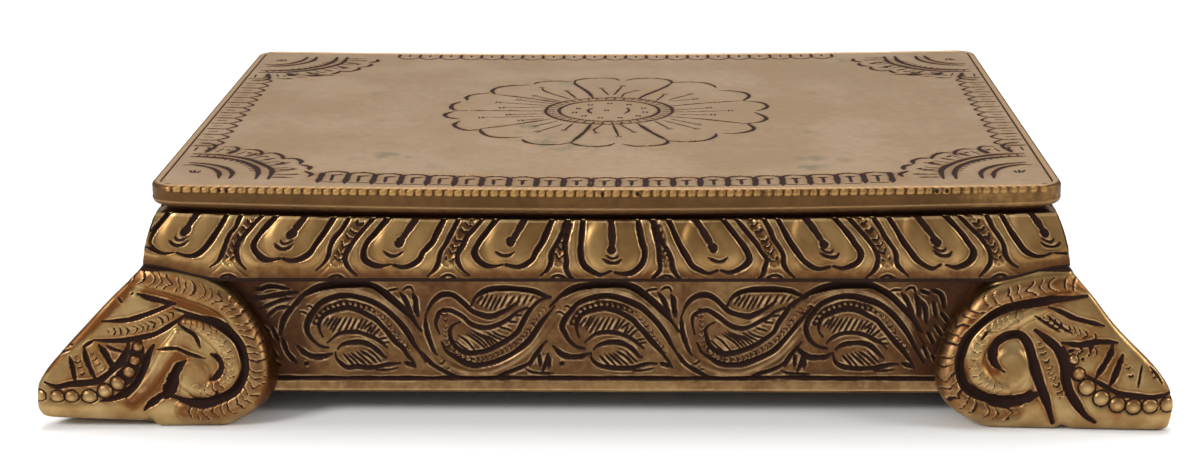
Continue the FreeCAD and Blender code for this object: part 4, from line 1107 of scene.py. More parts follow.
FALLING_BEND = (
    line(4.6, 2, 42, 6, 33, 13, 24, 22, 19, 32, 19, 40, 23, 47, 30, 54, 36, 62, 40, 72, 42.5, 80,
         42.5, 88, 39.5, 96, 35, 102, 31, 108, 26),
    line(4.2, 2, 42, 2, 52, 4, 62, 7, 72, 11, 81, 14, 85),
    line(4.0, 118, 33, 108, 37, 100, 43, 92, 48, 82, 53, 72, 55.5, 62, 54.5, 53, 50, 45, 44, 38,
         39, 30, 35.5, 20, 38, 15, 43, 14, 52, 17, 62),
    line(4.8, 20, 72, 26, 82, 34, 88, 44, 94, 56, 97, 70, 96.5, 82, 93, 96, 86, 108, 79, 118, 70,
         126, 60, 134, 50, 142, 40, 150, 32),
    line(4.6, 40, 49.5, 34, 52, 30, 57, 30.5, 66, 34, 74, 40, 80, 50, 83.5, 62, 83, 74, 80, 85, 75,
         96, 68, 106, 60, 112, 50, 118, 40, 126, 30, 135, 24, 144, 21),
    line(2.4, 39, 64, 48, 70, 57, 80), line(2.4, 48, 62, 60, 70, 69, 78),
    line(2.4, 54, 59, 68, 67, 77, 76), line(2.4, 66, 63, 76, 67, 85, 73),
    line(2.4, 78, 60, 86, 64, 95, 66), line(2.4, 87, 55, 95, 57, 100, 59),
    line(2.4, 96, 49, 106, 49), line(2.4, 105, 42, 112, 41),
    line(2.2, 36, 70, 44, 77, 50, 82), line(2.2, 51, 60.5, 64, 68.5, 73, 77),
    line(2.2, 60, 61, 72, 67, 81, 74.5), line(2.2, 72, 61.5, 81, 65.5, 90, 70),
    line(4.6, 54, 31, 59, 22, 68, 16, 80, 13, 95, 12.5, 110, 13, 125, 14.5, 135, 18, 144, 21.5),
    line(2.8, 68, 20, 61, 29), line(2.8, 79, 19, 70, 34), line(2.8, 89, 20, 81, 35),
    line(2.8, 104, 19, 96, 31), line(2.8, 111, 19, 105, 31), line(2.8, 119, 20, 113, 29),
    line(2.6, 73.5, 19.5, 65.5, 32), line(2.6, 84, 19.5, 75.5, 35), line(2.6, 96, 19, 88, 33),
    line(2.4, 126, 20.5, 121, 26),
    line(3.6, -4, 82, 0, 87, 8, 96, 20, 104, 32, 109, 40, 111), line(2.6, 40, 111, 76, 113),
    line(3.6, 78, 112, 90, 107, 105, 102, 118, 95, 127, 85, 133, 77, 139, 70),
    line(2.6, 15, 95.5, 20, 94, 23, 90.5), line(2.0, 24.5, 101, 28, 99.5),
    line(3.4, 129, 80, 124, 90, 120, 98), line(3.4, 131, 85, 131, 98),
    line(3.4, 141, 84, 138, 95, 134, 104), line(3.4, 143, 87, 142, 100),
    line(3.0, 116, 102, 123, 105, 134, 106, 148, 106),
)
FALLING_STEM = ((8, 76), (15, 88), (25, 97), (38, 103), (52, 106), (68, 106), (84, 102), (99, 95),
                (113, 86), (125, 75), (135, 63), (144, 51), (152, 41))
FALLING_BEADS = ((17, 46), (24, 37), (26, 72), (34, 81), (43, 88), (54, 91), (66, 90.5), (77, 87.5),
                 (88, 82), (99, 76), (109, 69), (117, 60.5), (124, 51), (131, 41), (139, 33))


# Leaves beyond the first and the last bend, on the same paper
START_FILLER = (
    line(5.0, -50, 25, -24, 20, 1, 16.5), line(4.0, -42, 35, -20, 27, -6, 24),
    line(3.6, -37, 46, -24, 36, -10, 33), line(4.0, -50, 16, -31, 10.6, -9.5, 12.5),
    line(5.6, -22, 66, -17, 49, -6, 35, 8, 22), line(4.0, -26, 72, -31, 57),
    line(3.6, -44, 55, -36, 62), line(3.2, -48, 66, -38, 72), line(4.6, -20, 70, -14, 86, -4, 98),
    line(3.2, -34, 82, -26, 92), line(3.2, -36, 94, -24, 101),
)
FINISH_FILLER = (
    line(4.6, 155, 13, 166, 19, 171, 34), line(5.0, 138, 22, 147, 33, 150, 52),
    line(4.0, 158, 26, 162, 45), line(4.0, 152, 62, 160, 76), line(3.6, 160, 54, 170, 66),
    line(4.0, 166, 40, 176, 50), line(3.4, 148, 78, 154, 92), line(3.6, 142, 14, 152, 18),
    line(3.2, 158, 88, 164, 98),
)


@dataclass
class VineSkirt(MitredStrip):
    """Skirt panel with a running vine, between two feet."""

    foot_round: float = 0.9
    foot_curve: tuple[Point, ...] = ((0.1, 0.5), (0.4, 0.15), (0.9, 0.0))
    inner_chamfer: float = 0.6
    wall_levels: tuple[float, ...] = (12.0, 30.0)
    rising_squares: Point = (0.238, 0.2485)
    falling_squares: Point = (0.246, 0.258)
    paper_top: float = 39.3
    groove_level: float = 10.6
    groove_fade: float = 0.8
    groove_parts: int = 8
    front_places: tuple[float, ...] = (-68.1, -32.2, 3.9, 39.3, 71.6)
    side_places: tuple[float, ...] = (-34.8, 0.0, 34.8)
    carved_half: float = 96.0
    end_margin: float = 25.0
    end_columns: int = 13
    face_inset: float = 0.1
    rim_swell: float = 0.35
    bold_share: float = 1.12
    hatch_share: float = 0.7
    stem_width: float = 3.0
    beaded_share: float = 0.62
    # The field above the groove is darker. Near the feet and under the frieze's rim it gets painted
    # shade, and the bottom edge and lower border get a painted highlight.
    ground_darkening: float = 0.44
    foot_shade: Point = (16.0, 12.0)
    foot_shade_tone: float = 0.5
    foot_wax: float = 0.42
    lip_shade: Point = (37.6, 1.8)
    under_rim_shade: float = 0.95
    bottom_shine: float = 0.72
    bottom_run: Point = (0.6, 0.5)
    border_shine: float = 0.38
    seed: int = 41

    @property
    def carved_run(self) -> float:
        """How far from its middle the panel is carved."""
        return min(self.carved_half, self.side.half_run - self.end_margin)

    def levels(self) -> tuple[np.ndarray, np.ndarray, int]:
        """Lines of the section: outward places, levels and the number of carved ones."""
        count = int((SKIRT_TOP - SKIRT_BOTTOM - self.foot_round) / self.cell)
        face = np.linspace(SKIRT_TOP, SKIRT_BOTTOM + self.foot_round, count)
        out = -SKIRT_INSET - self.rim_swell * (1.0 - ease(
            (self.groove_level - face) / self.groove_fade))
        rest = [(-SKIRT_INSET - inset, SKIRT_BOTTOM + rise) for inset, rise in self.foot_curve]
        rest += [(-WALL_INSET + self.inner_chamfer, SKIRT_BOTTOM),
                 (-WALL_INSET, SKIRT_BOTTOM + self.inner_chamfer)]
        rest += [(-WALL_INSET, level) for level in (*self.wall_levels, SKIRT_TOP)]
        outward, levels = np.array([*zip(out, face), *rest]).T
        return outward, levels, count

    def run_places(self) -> np.ndarray:
        """Places along the strip: close together where it is carved, wide apart behind the feet."""
        half = self.carved_run
        carved = np.linspace(-half, half, int(2 * half / self.cell))
        beyond = np.linspace(half, self.side.half_run, self.end_columns + 1)[1:]
        return np.concatenate([-beyond[::-1], carved, beyond])

    def placing(self, middle: float, squares: Point) -> Placing:
        """Give the way from the squares of a bend's paper to the face.

        Args:
            middle: Place of the bend's middle along the panel.
            squares: Width and height of a square.

        Returns:
            The function that moves points.
        """
        def place(points: np.ndarray) -> np.ndarray:
            return np.stack([middle + (points[:, 0] - VINE_PAPER / 2.0) * squares[0],
                             self.paper_top - points[:, 1] * squares[1]], axis=1)

        return place

    def bend(self, relief: Relief, middle: float, rising: bool) -> None:
        """Chase one bend of the vine with its leaf and beads."""
        squares = self.rising_squares if rising else self.falling_squares
        place = self.placing(middle, squares)
        stem = relief.path(RISING_STEM if rising else FALLING_STEM, place)
        relief.roll(stem, self.stem_width, height=0.4, ends=(0.6, 0.6))
        relief.carve(RISING_BEND if rising else FALLING_BEND, place, squares[0] * self.bold_share,
                     0.09, self.hatch_share)
        row = relief.path(RISING_BEADS if rising else FALLING_BEADS, place)
        if rising:
            turn = int(self.beaded_share * len(row))
            relief.beads(row[:turn], radius=0.62, pitch=1.62, height=0.42)
            row = row[turn:]
        relief.scales(row, width=1.9, pitch=1.5, lean=0.8, step=0.3, dark=0.3)

    def chase(self, relief: Relief) -> None:
        """Chase the vine, the leaves beyond its ends and the groove below it."""
        places = self.front_places if self.side.is_long else self.side_places
        for number, middle in enumerate(places):
            self.bend(relief, middle, number % 2 == 0)
        for middle, leaves in ((places[0], START_FILLER), (places[-1], FINISH_FILLER)):
            relief.carve(leaves, self.placing(middle, self.rising_squares),
                         self.rising_squares[0], 0.1)
        stops = np.linspace(-self.carved_run, self.carved_run, self.groove_parts + 1)
        for start, finish in zip(stops, stops[1:]):
            part = relief.path(((start, self.groove_level), (finish, self.groove_level)), None, 0.12)
            relief.groove(part, 1.0, 0.7, (0.8, 0.8))

    def build(self) -> bpy.types.Object:
        """Carve and close the panel."""
        outward, levels, count = self.levels()
        run = self.run_places()
        points = self.table(run / self.side.half_run, outward, levels)
        across, up = np.meshgrid(run, levels[:count])
        relief = Relief(across, up, self.cell, self.seed + self.side.value)
        self.chase(relief)
        points[:count, :, 1] -= relief.height() - self.face_inset
        marks = blank_marks(points.shape[:2])
        carved = slice(count)
        relief.mark(marks, carved)
        # Darker field above the groove, with painted shade near the feet and under the frieze's rim
        above = ease(up - self.groove_level)
        reach, fade = self.foot_shade
        near_foot = ease((np.abs(across) - self.carved_run + reach) / fade)
        raise_to(marks["grime_and_shade"], carved, above * (self.ground_darkening + self.foot_shade_tone * near_foot))
        start, fade = self.lip_shade
        raise_to(marks["wax"], carved, self.under_rim_shade * ease((up - start) / fade))
        raise_to(marks["wax"], carved, self.foot_wax * near_foot * above)
        # Painted highlight on the bottom edge and on the lower border
        height, fade = self.bottom_run
        bottom = ease((levels[count - 1] + height - up) / fade)
        raise_to(marks["shine"], carved, self.bottom_shine * bottom)
        raise_to(marks["shine"], carved, self.border_shine * (1.0 - above))
        node = "scroll_skirt_" + self.side.label
        piece = casting(node + "_carved", self.side.turn(points), marks, FINISHES["skirt_brass"])
        settle(piece, "skirt_brass", node)
        return piece


# Feet


@dataclass(frozen=True)
class FootDrawing:
    """Drawing of one foot's front."""

    toe_edge: float
    slope: float
    toe_flare: float
    toe_lift: float
    toe_forward: float
    flare: tuple[float, ...]
    band: Stroke
    hook: Stroke
    stem: Stroke
    head: tuple[float, float, float, float]
    band_pitch: float
    troughs: tuple[Stroke, ...]
    lines: tuple[Stroke, ...]
    nets: tuple[Stroke, ...]
    pearls: tuple[tuple[float, float, float], ...]
    darken_along: tuple[Stroke, ...]


# The scroll of a foot, drawn on squared paper from the toe inwards. Down is
# the second number, from a line a little above the frieze's lower edge.
LEFT_DRAWING = FootDrawing(
    toe_edge=154.5, slope=0.0156, toe_flare=35.0, toe_lift=3.0, toe_forward=1.5,
    flare=(0.95, 0.99, 1.0, 0.985, 0.91, 0.80, 0.69, 0.57, 0.455, 0.335, 0.20, 0.05),
    band=line(23, 104, 17, 120, 20, 138, 24, 158, 29, 180, 35.5, 198, 44, 210, 54, 220.5, 68, 228,
              84, 232, 100, 232, 117, 228, 132, 218, 143, 202, 150, 181, 153.5, 160, 153),
    hook=line(21, 160, 66, 172, 68, 184, 74, 194, 82, 202, 92, 205, 105, 204, 117, 196, 127, 184, 132,
              172, 131),
    stem=line(17, 152, 76, 146, 88, 140, 98, 134, 110, 126, 122, 116, 133, 106, 143),
    head=(167, 118, 18.0, 18.0), band_pitch=2.3,
    troughs=(
        line(8.5, 162, 59, 176, 61, 192, 66, 206, 76, 215, 86, 220, 99, 221, 112, 217, 124, 209, 134,
             196, 141, 180, 145, 164, 144, 152, 140, 142, 137),
        line(8, 161, 103, 154, 109, 149, 117, 146, 126, 143, 135, depth=1.5, ends=(0.3, 1.0)),
        line(13, 148, 120, 146, 128, 141, 137, depth=1.5, ends=(0.8, 0.8)),
        line(15, 113, 84, 111, 98, 105, 112, 96, 122, 84, 129, depth=0.7),
        line(5.5, 186, 97, 194, 101, 197, 110, 192, 119, 185, 122),
        line(6.5, 119, 156, 126, 147, 134, 140, 141, 135),
    ),
    lines=(
        line(5.0, 112, 37, 124, 41, 136, 44, 150, 47), line(2.2, 148, 51, 164, 56, 180, 61),
        line(4.4, 77, 64, 90, 64, 105, 62.5, 120, 58, 133, 53, 142, 49, 150, 46),
        line(4.8, 68, 83, 85, 83.5, 100, 83, 115, 80, 129, 77, 141, 71, 152, 63, 160, 58),
        line(7.0, 129, 88, 124, 95, 120, 105, 116, 117, 108, 128, 98, 137, 85, 143, 75, 145),
        line(5.0, 84, 112, 92, 106, 98, 98, 101, 90),
        line(6.0, 18, 125, 30, 129, 42, 127, 52, 126, 62, 125, 70, 124, 76, 122, 85, 115, 90, 110, 96,
             105, 101, 96, 103, 87),
        line(5.0, 43, 100, 46, 110, 49, 123), line(5.0, 58, 90, 60, 100, 64, 111, 69, 120),
        line(6.0, 73, 88, 79, 96, 85, 106, 90, 111), line(3.2, 68, 83, 62, 87, 57, 90),
        line(3.0, 81, 88, 88, 92, 97, 94), line(3.4, 153, 66, 162, 73, 170, 79, 175, 90),
        line(3.2, 132, 92, 150, 91, 165, 97, 180, 101), line(1.8, 44, 87, 48, 88),
        line(1.6, 28, 98, 36, 95, 45, 92), line(2.0, 93, 40, 96, 44.5, 98, 44.5),
        line(2.0, 106, 37.5, 109, 36), line(2.6, 187, 140, 192, 137, 193, 133),
        line(3.6, 100, 92, 108, 97, 116, 101), line(3.6, 97, 104, 105, 108, 113, 110),
    ),
    nets=(line(10, 82, 74, 95, 74, 110, 72, 125, 68, 140, 61, 150, 55),
          line(7.5, 50, 98, 53, 108, 57, 118), line(7.5, 66, 96, 71, 105, 77, 114)),
    pearls=((12, 139, 6.0), (30.5, 140, 6.2), (45, 140, 6.2), (63, 140, 6.8), (79, 134, 6.6),
            (92, 126, 6.4), (103, 115, 5.6), (109, 103, 5.0), (112, 90, 4.6)),
    darken_along=(line(34, 158, 98, 146, 112, 134, 124, 118, 136, 106, 146),
           line(16, 120, 112, 108, 128, 92, 142), line(22, 122, 36, 150, 43, 190, 60),
           line(26, 226, 50, 242, 84, 246, 116, 238, 146), line(14, 188, 120, 196, 132),
           line(16, 20, 112, 40, 92, 70, 66, 92, 44, 112, 20)),
)
RIGHT_DRAWING = FootDrawing(
    toe_edge=154.7, slope=0.0117, toe_flare=32.7, toe_lift=0.2, toe_forward=2.7,
    flare=(0.97, 0.99, 1.0, 0.97, 0.88, 0.76, 0.62, 0.49, 0.385, 0.29, 0.17, 0.04),
    band=line(21, 104, 27, 123, 25.5, 137, 27, 156, 31, 173, 35, 188, 39.5, 201, 45, 212, 53, 221,
              62, 228, 73, 234, 85, 238, 98, 239.5, 112, 237, 125, 229, 137, 216, 146, 202, 151, 186,
              153, 172, 151),
    hook=line(19, 166, 57, 178, 61, 192, 69, 203, 79, 210, 92, 213, 105, 208, 117, 197, 126, 182, 130),
    stem=line(15, 140, 50, 152, 54, 164, 60, 176, 68, 186, 76),
    head=(176, 110, 19.0, 23.0), band_pitch=3.0,
    troughs=(
        line(8.0, 102, 38, 116, 40, 133, 41.5, 150, 44, 168, 47, 184, 51, 197, 58, 209, 68, 218, 79,
             224, 91, 227, 104, 226, 117, 221, 128, 211, 134, 197, 139, 180, 140, 166, 138, 156, 132),
        line(9, 193, 96, 191, 86, 184, 79, 175, 76, 166, 77, 159, 85, 155, 97, 151, 112, 146, 128,
             139, 146, 134, 164, depth=1.3, ends=(0.7, 0.5)),
        line(11, 206, 135, 192, 141, 174, 142, 158, 138, 147, 134, depth=1.3),
        line(10, 124, 90, 121, 102, 115, 113, 106, 122, depth=0.7),
        line(7, 192, 86, 195, 95, 192, 104, 187, 109, depth=1.2),
    ),
    lines=(
        line(8.5, 152, 72, 140, 81, 130, 91, 124, 105, 121, 120, 117, 133, 108, 148, 101, 157, 92,
             163, depth=1.3),
        line(4.4, 139, 49, 127, 54.5, 115, 59, 101, 63, 84, 67),
        line(5.4, 125, 84, 108, 86, 94, 84, 81, 83, 71, 84),
        line(2.6, 153, 57, 140, 66, 128, 73), line(2.2, 140, 58, 127, 68, 116, 75),
        line(6.0, 75, 86, 78, 96, 84, 107, 91, 118), line(6.0, 65, 96, 69, 108, 74, 120, 78, 127),
        line(2.4, 46, 105, 49, 128), line(2.4, 38, 107, 30, 118, 26, 124),
        line(5.0, 100, 117, 90, 123, 80, 128, 68, 134, 52, 136, 35, 138, 20, 134, 16, 127),
        line(3.4, 119, 92, 113, 92), line(3.4, 118, 105, 111, 106), line(3.0, 97, 92, 94, 84),
        line(3.4, 105, 99, 104, 101), line(2.6, 205, 80, 198, 72), line(1.8, 186, 110, 182, 113),
    ),
    nets=(line(10, 145, 59, 130, 66, 115, 72, 100, 77, 88, 80), line(9, 148, 84, 142, 98, 136, 112,
          130, 126, 124, 138), line(12, 112, 91, 100, 93, 88, 93), line(7, 61, 104, 58, 112, 55, 121),
          line(6, 36, 112, 32, 119)),
    pearls=((19.5, 145, 6.4), (37, 146, 6.6), (53.5, 147, 6.8), (69.5, 145, 6.8), (85.5, 139, 7.0),
            (100, 128, 7.2), (108.5, 115, 5.6), (114, 101, 4.6)),
    darken_along=(line(20, 214, 60, 226, 86, 222, 118), line(24, 190, 84, 198, 96, 192, 110),
           line(14, 120, 34, 160, 40, 196, 52), line(18, 160, 80, 152, 110, 146, 136),
           line(14, 100, 26, 80, 50, 56, 78, 30, 104, 12, 120), line(16, 206, 140, 180, 152)),
)

# Levels of the foot as shares of the height under the frieze, and at each the
# shares of the reach inwards and of the way forward. The flare has levels of its own.
FLARE_LEVELS = (0.0, 0.10, 0.20, 0.30, 0.40, 0.50, 0.60, 0.70, 0.80, 0.90, 1.0, 1.12)
LEVEL_SHARES = (0.0, 0.10, 0.22, 0.36, 0.53, 0.72, 0.92, 1.12)
REACH_SHARES = (0.66, 0.90, 1.0, 1.0, 0.95, 0.83, 0.66, 0.46)
FORWARD_SHARES = (0.86, 1.0, 0.88, 0.74, 0.57, 0.38, 0.19, 0.0)


@dataclass
class ScrollFoot:
    """Foot whose toe sweeps out to the side, with a beaded scroll on its faces."""

    corner: Corner
    drawing: FootDrawing
    cell: float = 0.34
    reach: float = 33.0
    forward: float = 7.4
    sole_round: float = 1.7
    top_forward: float = 0.8
    rim: float = 4.5
    toe_edge: float = 7.0
    least_toe_edge: float = 1.5
    heart: float = 5.2
    under_frieze: float = 39.6
    height: float = 44.4
    side_length: float = 46.0
    shoulder_columns: int = 22
    toe_columns: int = 26
    chased_columns: int = 170
    toe_fade: float = 4.0
    least_toe_relief: float = 0.3
    square: float = 0.269
    drop_square: float = 0.283
    paper_top: float = 47.9
    view_slope: float = 0.29
    view_distance: float = 570.0
    drawn_forward: float = 6.0
    notch_place: float = 1.0
    notch_half: float = 1.4
    notch_height: float = 0.9
    shadow_line: float = 2.0
    sole_margin: float = 0.06
    top_sample: float = 0.94
    pearl_share: float = 1.12
    pearl_height: float = 0.62
    lift_start: float = 2.0
    lift_run: float = 3.0
    lift_share: float = 0.45
    lifted_height: float = 9.0
    lifted_front: Point = (1.0, 6.0)
    tuck_share: float = 0.8
    fine_levels: int = 240
    level_blur: float = 7.0
    seat_fade: Point = (1.0, 2.0)
    seed: int = 71

    def shares(self, level: np.ndarray, table: Sequence[float],
               table_levels: Sequence[float] = LEVEL_SHARES) -> np.ndarray:
        """Smooth value of one of the share tables at some levels."""
        fine = np.linspace(table_levels[0], table_levels[-1], self.fine_levels)
        coarse = np.interp(fine, table_levels, table)
        soft = soften(coarse[None, :].repeat(3, axis=0), self.level_blur)[1]
        soft += np.linspace(coarse[0] - soft[0], 0.0, fine.size)
        return np.interp(level / SKIRT_TOP, fine, soft)

    def outline(self, level: np.ndarray) -> tuple[np.ndarray, int, int]:
        """Plan outline of the foot at some levels.

        Args:
            level: The levels.

        Returns:
            Places out from the sides of the top, levels by columns by two, and the numbers of
            the last column of the front face and of the last column of the toe's edge.
        """
        flare_share = self.shares(level, self.drawing.flare, FLARE_LEVELS)
        flare = self.drawing.toe_flare * flare_share
        reach = self.reach * self.shares(level, REACH_SHARES)
        forward = self.top_forward + (self.forward - self.top_forward) * self.shares(
            level, FORWARD_SHARES)
        edge = self.least_toe_edge + (self.toe_edge - self.least_toe_edge) * flare_share
        seat = np.full_like(level, -SKIRT_INSET)
        back = np.full_like(level, -self.heart)
        under = np.clip(1.0 - level / self.sole_round, 0.0, 1.0)
        tuck = self.tuck_share * self.sole_round * (1.0 - np.sqrt(1.0 - under ** 2))
        flare, reach, forward = flare - tuck, reach - tuck, forward - tuck
        toe = np.stack([flare, forward + self.drawing.toe_forward * flare_share], axis=-1)
        front = [np.stack(pair, axis=-1) for pair in (
            (-reach, seat), (-reach, forward), (-reach + self.rim, forward))]
        side = [point[:, ::-1] for point in front]
        front_way = (front[2] - toe) / np.linalg.norm(front[2] - toe, axis=-1, keepdims=True)
        side_way = (side[2] - toe) / np.linalg.norm(side[2] - toe, axis=-1, keepdims=True)
        toe_front = toe + front_way * edge[:, None]
        toe_side = toe + side_way * edge[:, None]
        long_run = int((self.reach + self.drawing.toe_flare - self.rim - self.toe_edge) / self.cell)
        side_run = int(self.side_length / self.cell)
        behind_side, inner, behind_front = [np.stack(pair, axis=-1) for pair in (
            (back, -reach), (back, back), (-reach, back))]
        parts = [
            self.bent(front[0], front[1], front[2], self.shoulder_columns),
            self.straight(front[2], toe_front, long_run),
            self.bent(toe_front, toe, toe_side, self.toe_columns),
            self.straight(toe_side, side[2], side_run),
            self.bent(side[2], side[1], side[0], self.shoulder_columns),
            self.straight(side[0], behind_side, 2),
            self.straight(behind_side, inner, 3),
            self.straight(inner, behind_front, 3),
            self.straight(behind_front, front[0], 2),
        ]
        front_end = self.shoulder_columns + long_run
        return np.concatenate(parts, axis=1), front_end, front_end + self.toe_columns

    @staticmethod
    def straight(start: np.ndarray, finish: np.ndarray, count: int) -> np.ndarray:
        """Columns along a straight run, without its last point."""
        t = np.linspace(0.0, 1.0, count, endpoint=False)[None, :, None]
        return start[:, None] * (1 - t) + finish[:, None] * t

    @staticmethod
    def bent(start: np.ndarray, corner: np.ndarray, finish: np.ndarray, count: int) -> np.ndarray:
        """Columns round a soft corner, without its last point."""
        t = np.linspace(0.0, 1.0, count, endpoint=False)[None, :, None]
        return (start[:, None] * (1 - t) ** 2 + corner[:, None] * 2 * t * (1 - t)
                + finish[:, None] * t ** 2)

    def top_of(self, outward: np.ndarray) -> np.ndarray:
        """Level of the frieze's lower edge over a place along a side."""
        frieze = LotusFrieze(Side.FRONT)
        start = FRIEZE_LIP - frieze.end_rise_run
        return self.under_frieze + frieze.end_rise * ease((outward - start) / frieze.end_rise_run)

    def place(self, points: np.ndarray) -> np.ndarray:
        """Move points of the drawing's squares to out-from-the-side and height."""
        across = (self.drawing.toe_edge - self.square * points[:, 0]
                  + self.drawing.slope * points[:, 1] - HALF_WIDTH)
        return np.stack([across, self.paper_top - self.drop_square * points[:, 1]], axis=1)

    def spot(self, across: float, down: float) -> Point:
        """Place of one point of the drawing."""
        out, up = self.place(np.array([[across, down]], dtype=float))[0]
        return out, up

    def chase(self, relief: Relief) -> None:
        """Chase the whole drawing on a face."""
        drawing, unit = self.drawing, self.square
        band = relief.path(drawing.band.points, self.place)
        band_width = drawing.band.width * unit
        relief.roll(band, 1.25 * band_width, height=1.5, ends=(0.75, 0.8))
        hook = relief.path(drawing.hook.points, self.place)
        hook_width = drawing.hook.width * unit
        relief.roll(hook, 1.1 * hook_width, height=1.3, ends=(0.5, 0.9))
        stem = relief.path(drawing.stem.points, self.place)
        relief.roll(stem, drawing.stem.width * unit, height=1.0, ends=(0.6, 0.8))
        across, down, half_width, half_height = drawing.head
        relief.dome(self.spot(across, down), (half_width * unit, half_height * unit), 0.9)
        relief.darken_along(band, 1.3 * band_width, 0.72)
        for veil in drawing.darken_along:
            relief.darken_along(relief.path(veil.points, self.place), veil.width * unit, 0.95)
        relief.carve(drawing.troughs, self.place, unit, 0.05)
        relief.carve(drawing.lines, self.place, unit, 0.07)
        relief.scales(band, width=0.8 * band_width, pitch=drawing.band_pitch, lean=0.62, step=0.3,
                      dark=0.18)
        relief.scales(hook, width=0.7 * hook_width, pitch=1.8, lean=0.6, step=0.22, dark=0.14)
        for net in drawing.nets:
            relief.scales(relief.path(net.points, self.place), width=net.width * unit, pitch=1.9,
                          lean=0.8, step=0.4, dark=0.3)
        for across, down, radius in drawing.pearls:
            relief.pearl(self.spot(across, down), self.pearl_share * radius * unit,
                         self.pearl_height)

    def build(self) -> bpy.types.Object:
        """Carve and close the foot."""
        rows = int(self.height / self.cell)
        level = np.linspace(0.0, self.height, rows)
        plan, front_end, toe_end = self.outline(level)
        columns = plan.shape[1]
        top_level = self.top_of(plan[int(rows * self.top_sample)].max(axis=1))
        share = np.linspace(0.0, 1.0, rows)
        points = np.empty((columns, rows, 3))
        for number in range(columns):
            heights = share * top_level[number]
            for axis in (0, 1):
                points[number, :, axis] = np.interp(heights, level, plan[:, number, axis])
            points[number, :, 2] = heights
        marks = blank_marks((columns, rows))
        normals = normals_of(points, True)
        middle = normals[front_end // 2, rows // 2]
        normals *= 1.0 if middle[1] > 0 else -1.0
        lift = np.zeros((columns, rows))
        seam = (front_end + toe_end) // 2
        side_end = toe_end + self.chased_columns
        for faces, turned in ((slice(0, seam), False), (slice(seam, side_end), True)):
            lift[faces] = self.face(points[faces], turned, marks, faces)
        points += normals * lift[..., None]
        # Painted shadow under the frieze's lower edge
        to_frieze = top_level[:, None] * (1.0 - share[None, :])
        raise_to(marks["wax"], ..., ease(
            (self.shadow_line - to_frieze) / (0.5 * self.shadow_line)))
        self.cut_notch(points)
        signs = self.corner.value
        placed = np.stack([
            signs[0] * np.minimum(HALF_WIDTH + points[..., 0], TOE_LIMIT - self.sole_margin),
            signs[1] * (HALF_DEPTH + points[..., 1]),
            np.maximum(points[..., 2], 0.0)], axis=-1)
        node = "foot_" + self.corner.label
        piece = casting(node + "_carved", placed, marks, FINISHES["foot_brass"])
        settle(piece, "foot_brass", node)
        return piece

    def face(self, points: np.ndarray, turned: bool, marks: dict[str, np.ndarray],
             faces: slice) -> np.ndarray:
        """Chase the front or the side of the foot.

        Args:
            points: Points of the face, before it is carved.
            turned: True for the side.
            marks: Marks of the whole foot, filled in for this face.
            faces: Columns of the face.

        Returns:
            Lift of each point.
        """
        outward, forward = points[..., 0], points[..., 1]
        if turned:
            outward, forward = forward, outward
            outward = -self.reach + (outward + self.reach) * (
                (self.reach + self.drawing.toe_flare)
                / (self.reach + self.forward + self.drawing.toe_forward))
            forward = np.minimum(forward, self.forward)
        near = 1.0 + (forward - self.drawn_forward) / self.view_distance
        across = (HALF_WIDTH + outward) * near - HALF_WIDTH
        up = points[..., 2] - self.view_slope * (forward - self.drawn_forward)
        seed = self.seed + 2 * list(Corner).index(self.corner) + turned
        relief = Relief(across, up, self.cell, seed)
        self.chase(relief)
        relief.mark(marks, faces)
        margin, width = self.seat_fade
        fade = ease((points[..., 0 if turned else 1] + SKIRT_INSET + margin) / width)
        run = points[..., 1 if turned else 0]
        from_toe = ease((run.max(axis=0) - run) / self.toe_fade)
        return relief.height() * fade * (
            self.least_toe_relief + (1.0 - self.least_toe_relief) * from_toe)

    def cut_notch(self, points: np.ndarray) -> None:
        """Lift the toe's sole a little, and more where the toe and the scroll part."""
        outward = points[..., 0]
        along = np.clip(outward / self.drawing.toe_flare, 0.0, 1.0)
        toe = (self.drawing.toe_lift
               * ease((outward - self.notch_place + self.lift_start) / self.lift_run)
               * (self.lift_share + (1.0 - self.lift_share) * along))
        notch = self.notch_height * np.exp(-((outward - self.notch_place) / self.notch_half) ** 2)
        low = np.clip(1.0 - points[..., 2] / self.lifted_height, 0.0, 1.0)
        start, run = self.lifted_front
        points[..., 2] += (toe + notch) * low * ease((points[..., 1] + start) / run)


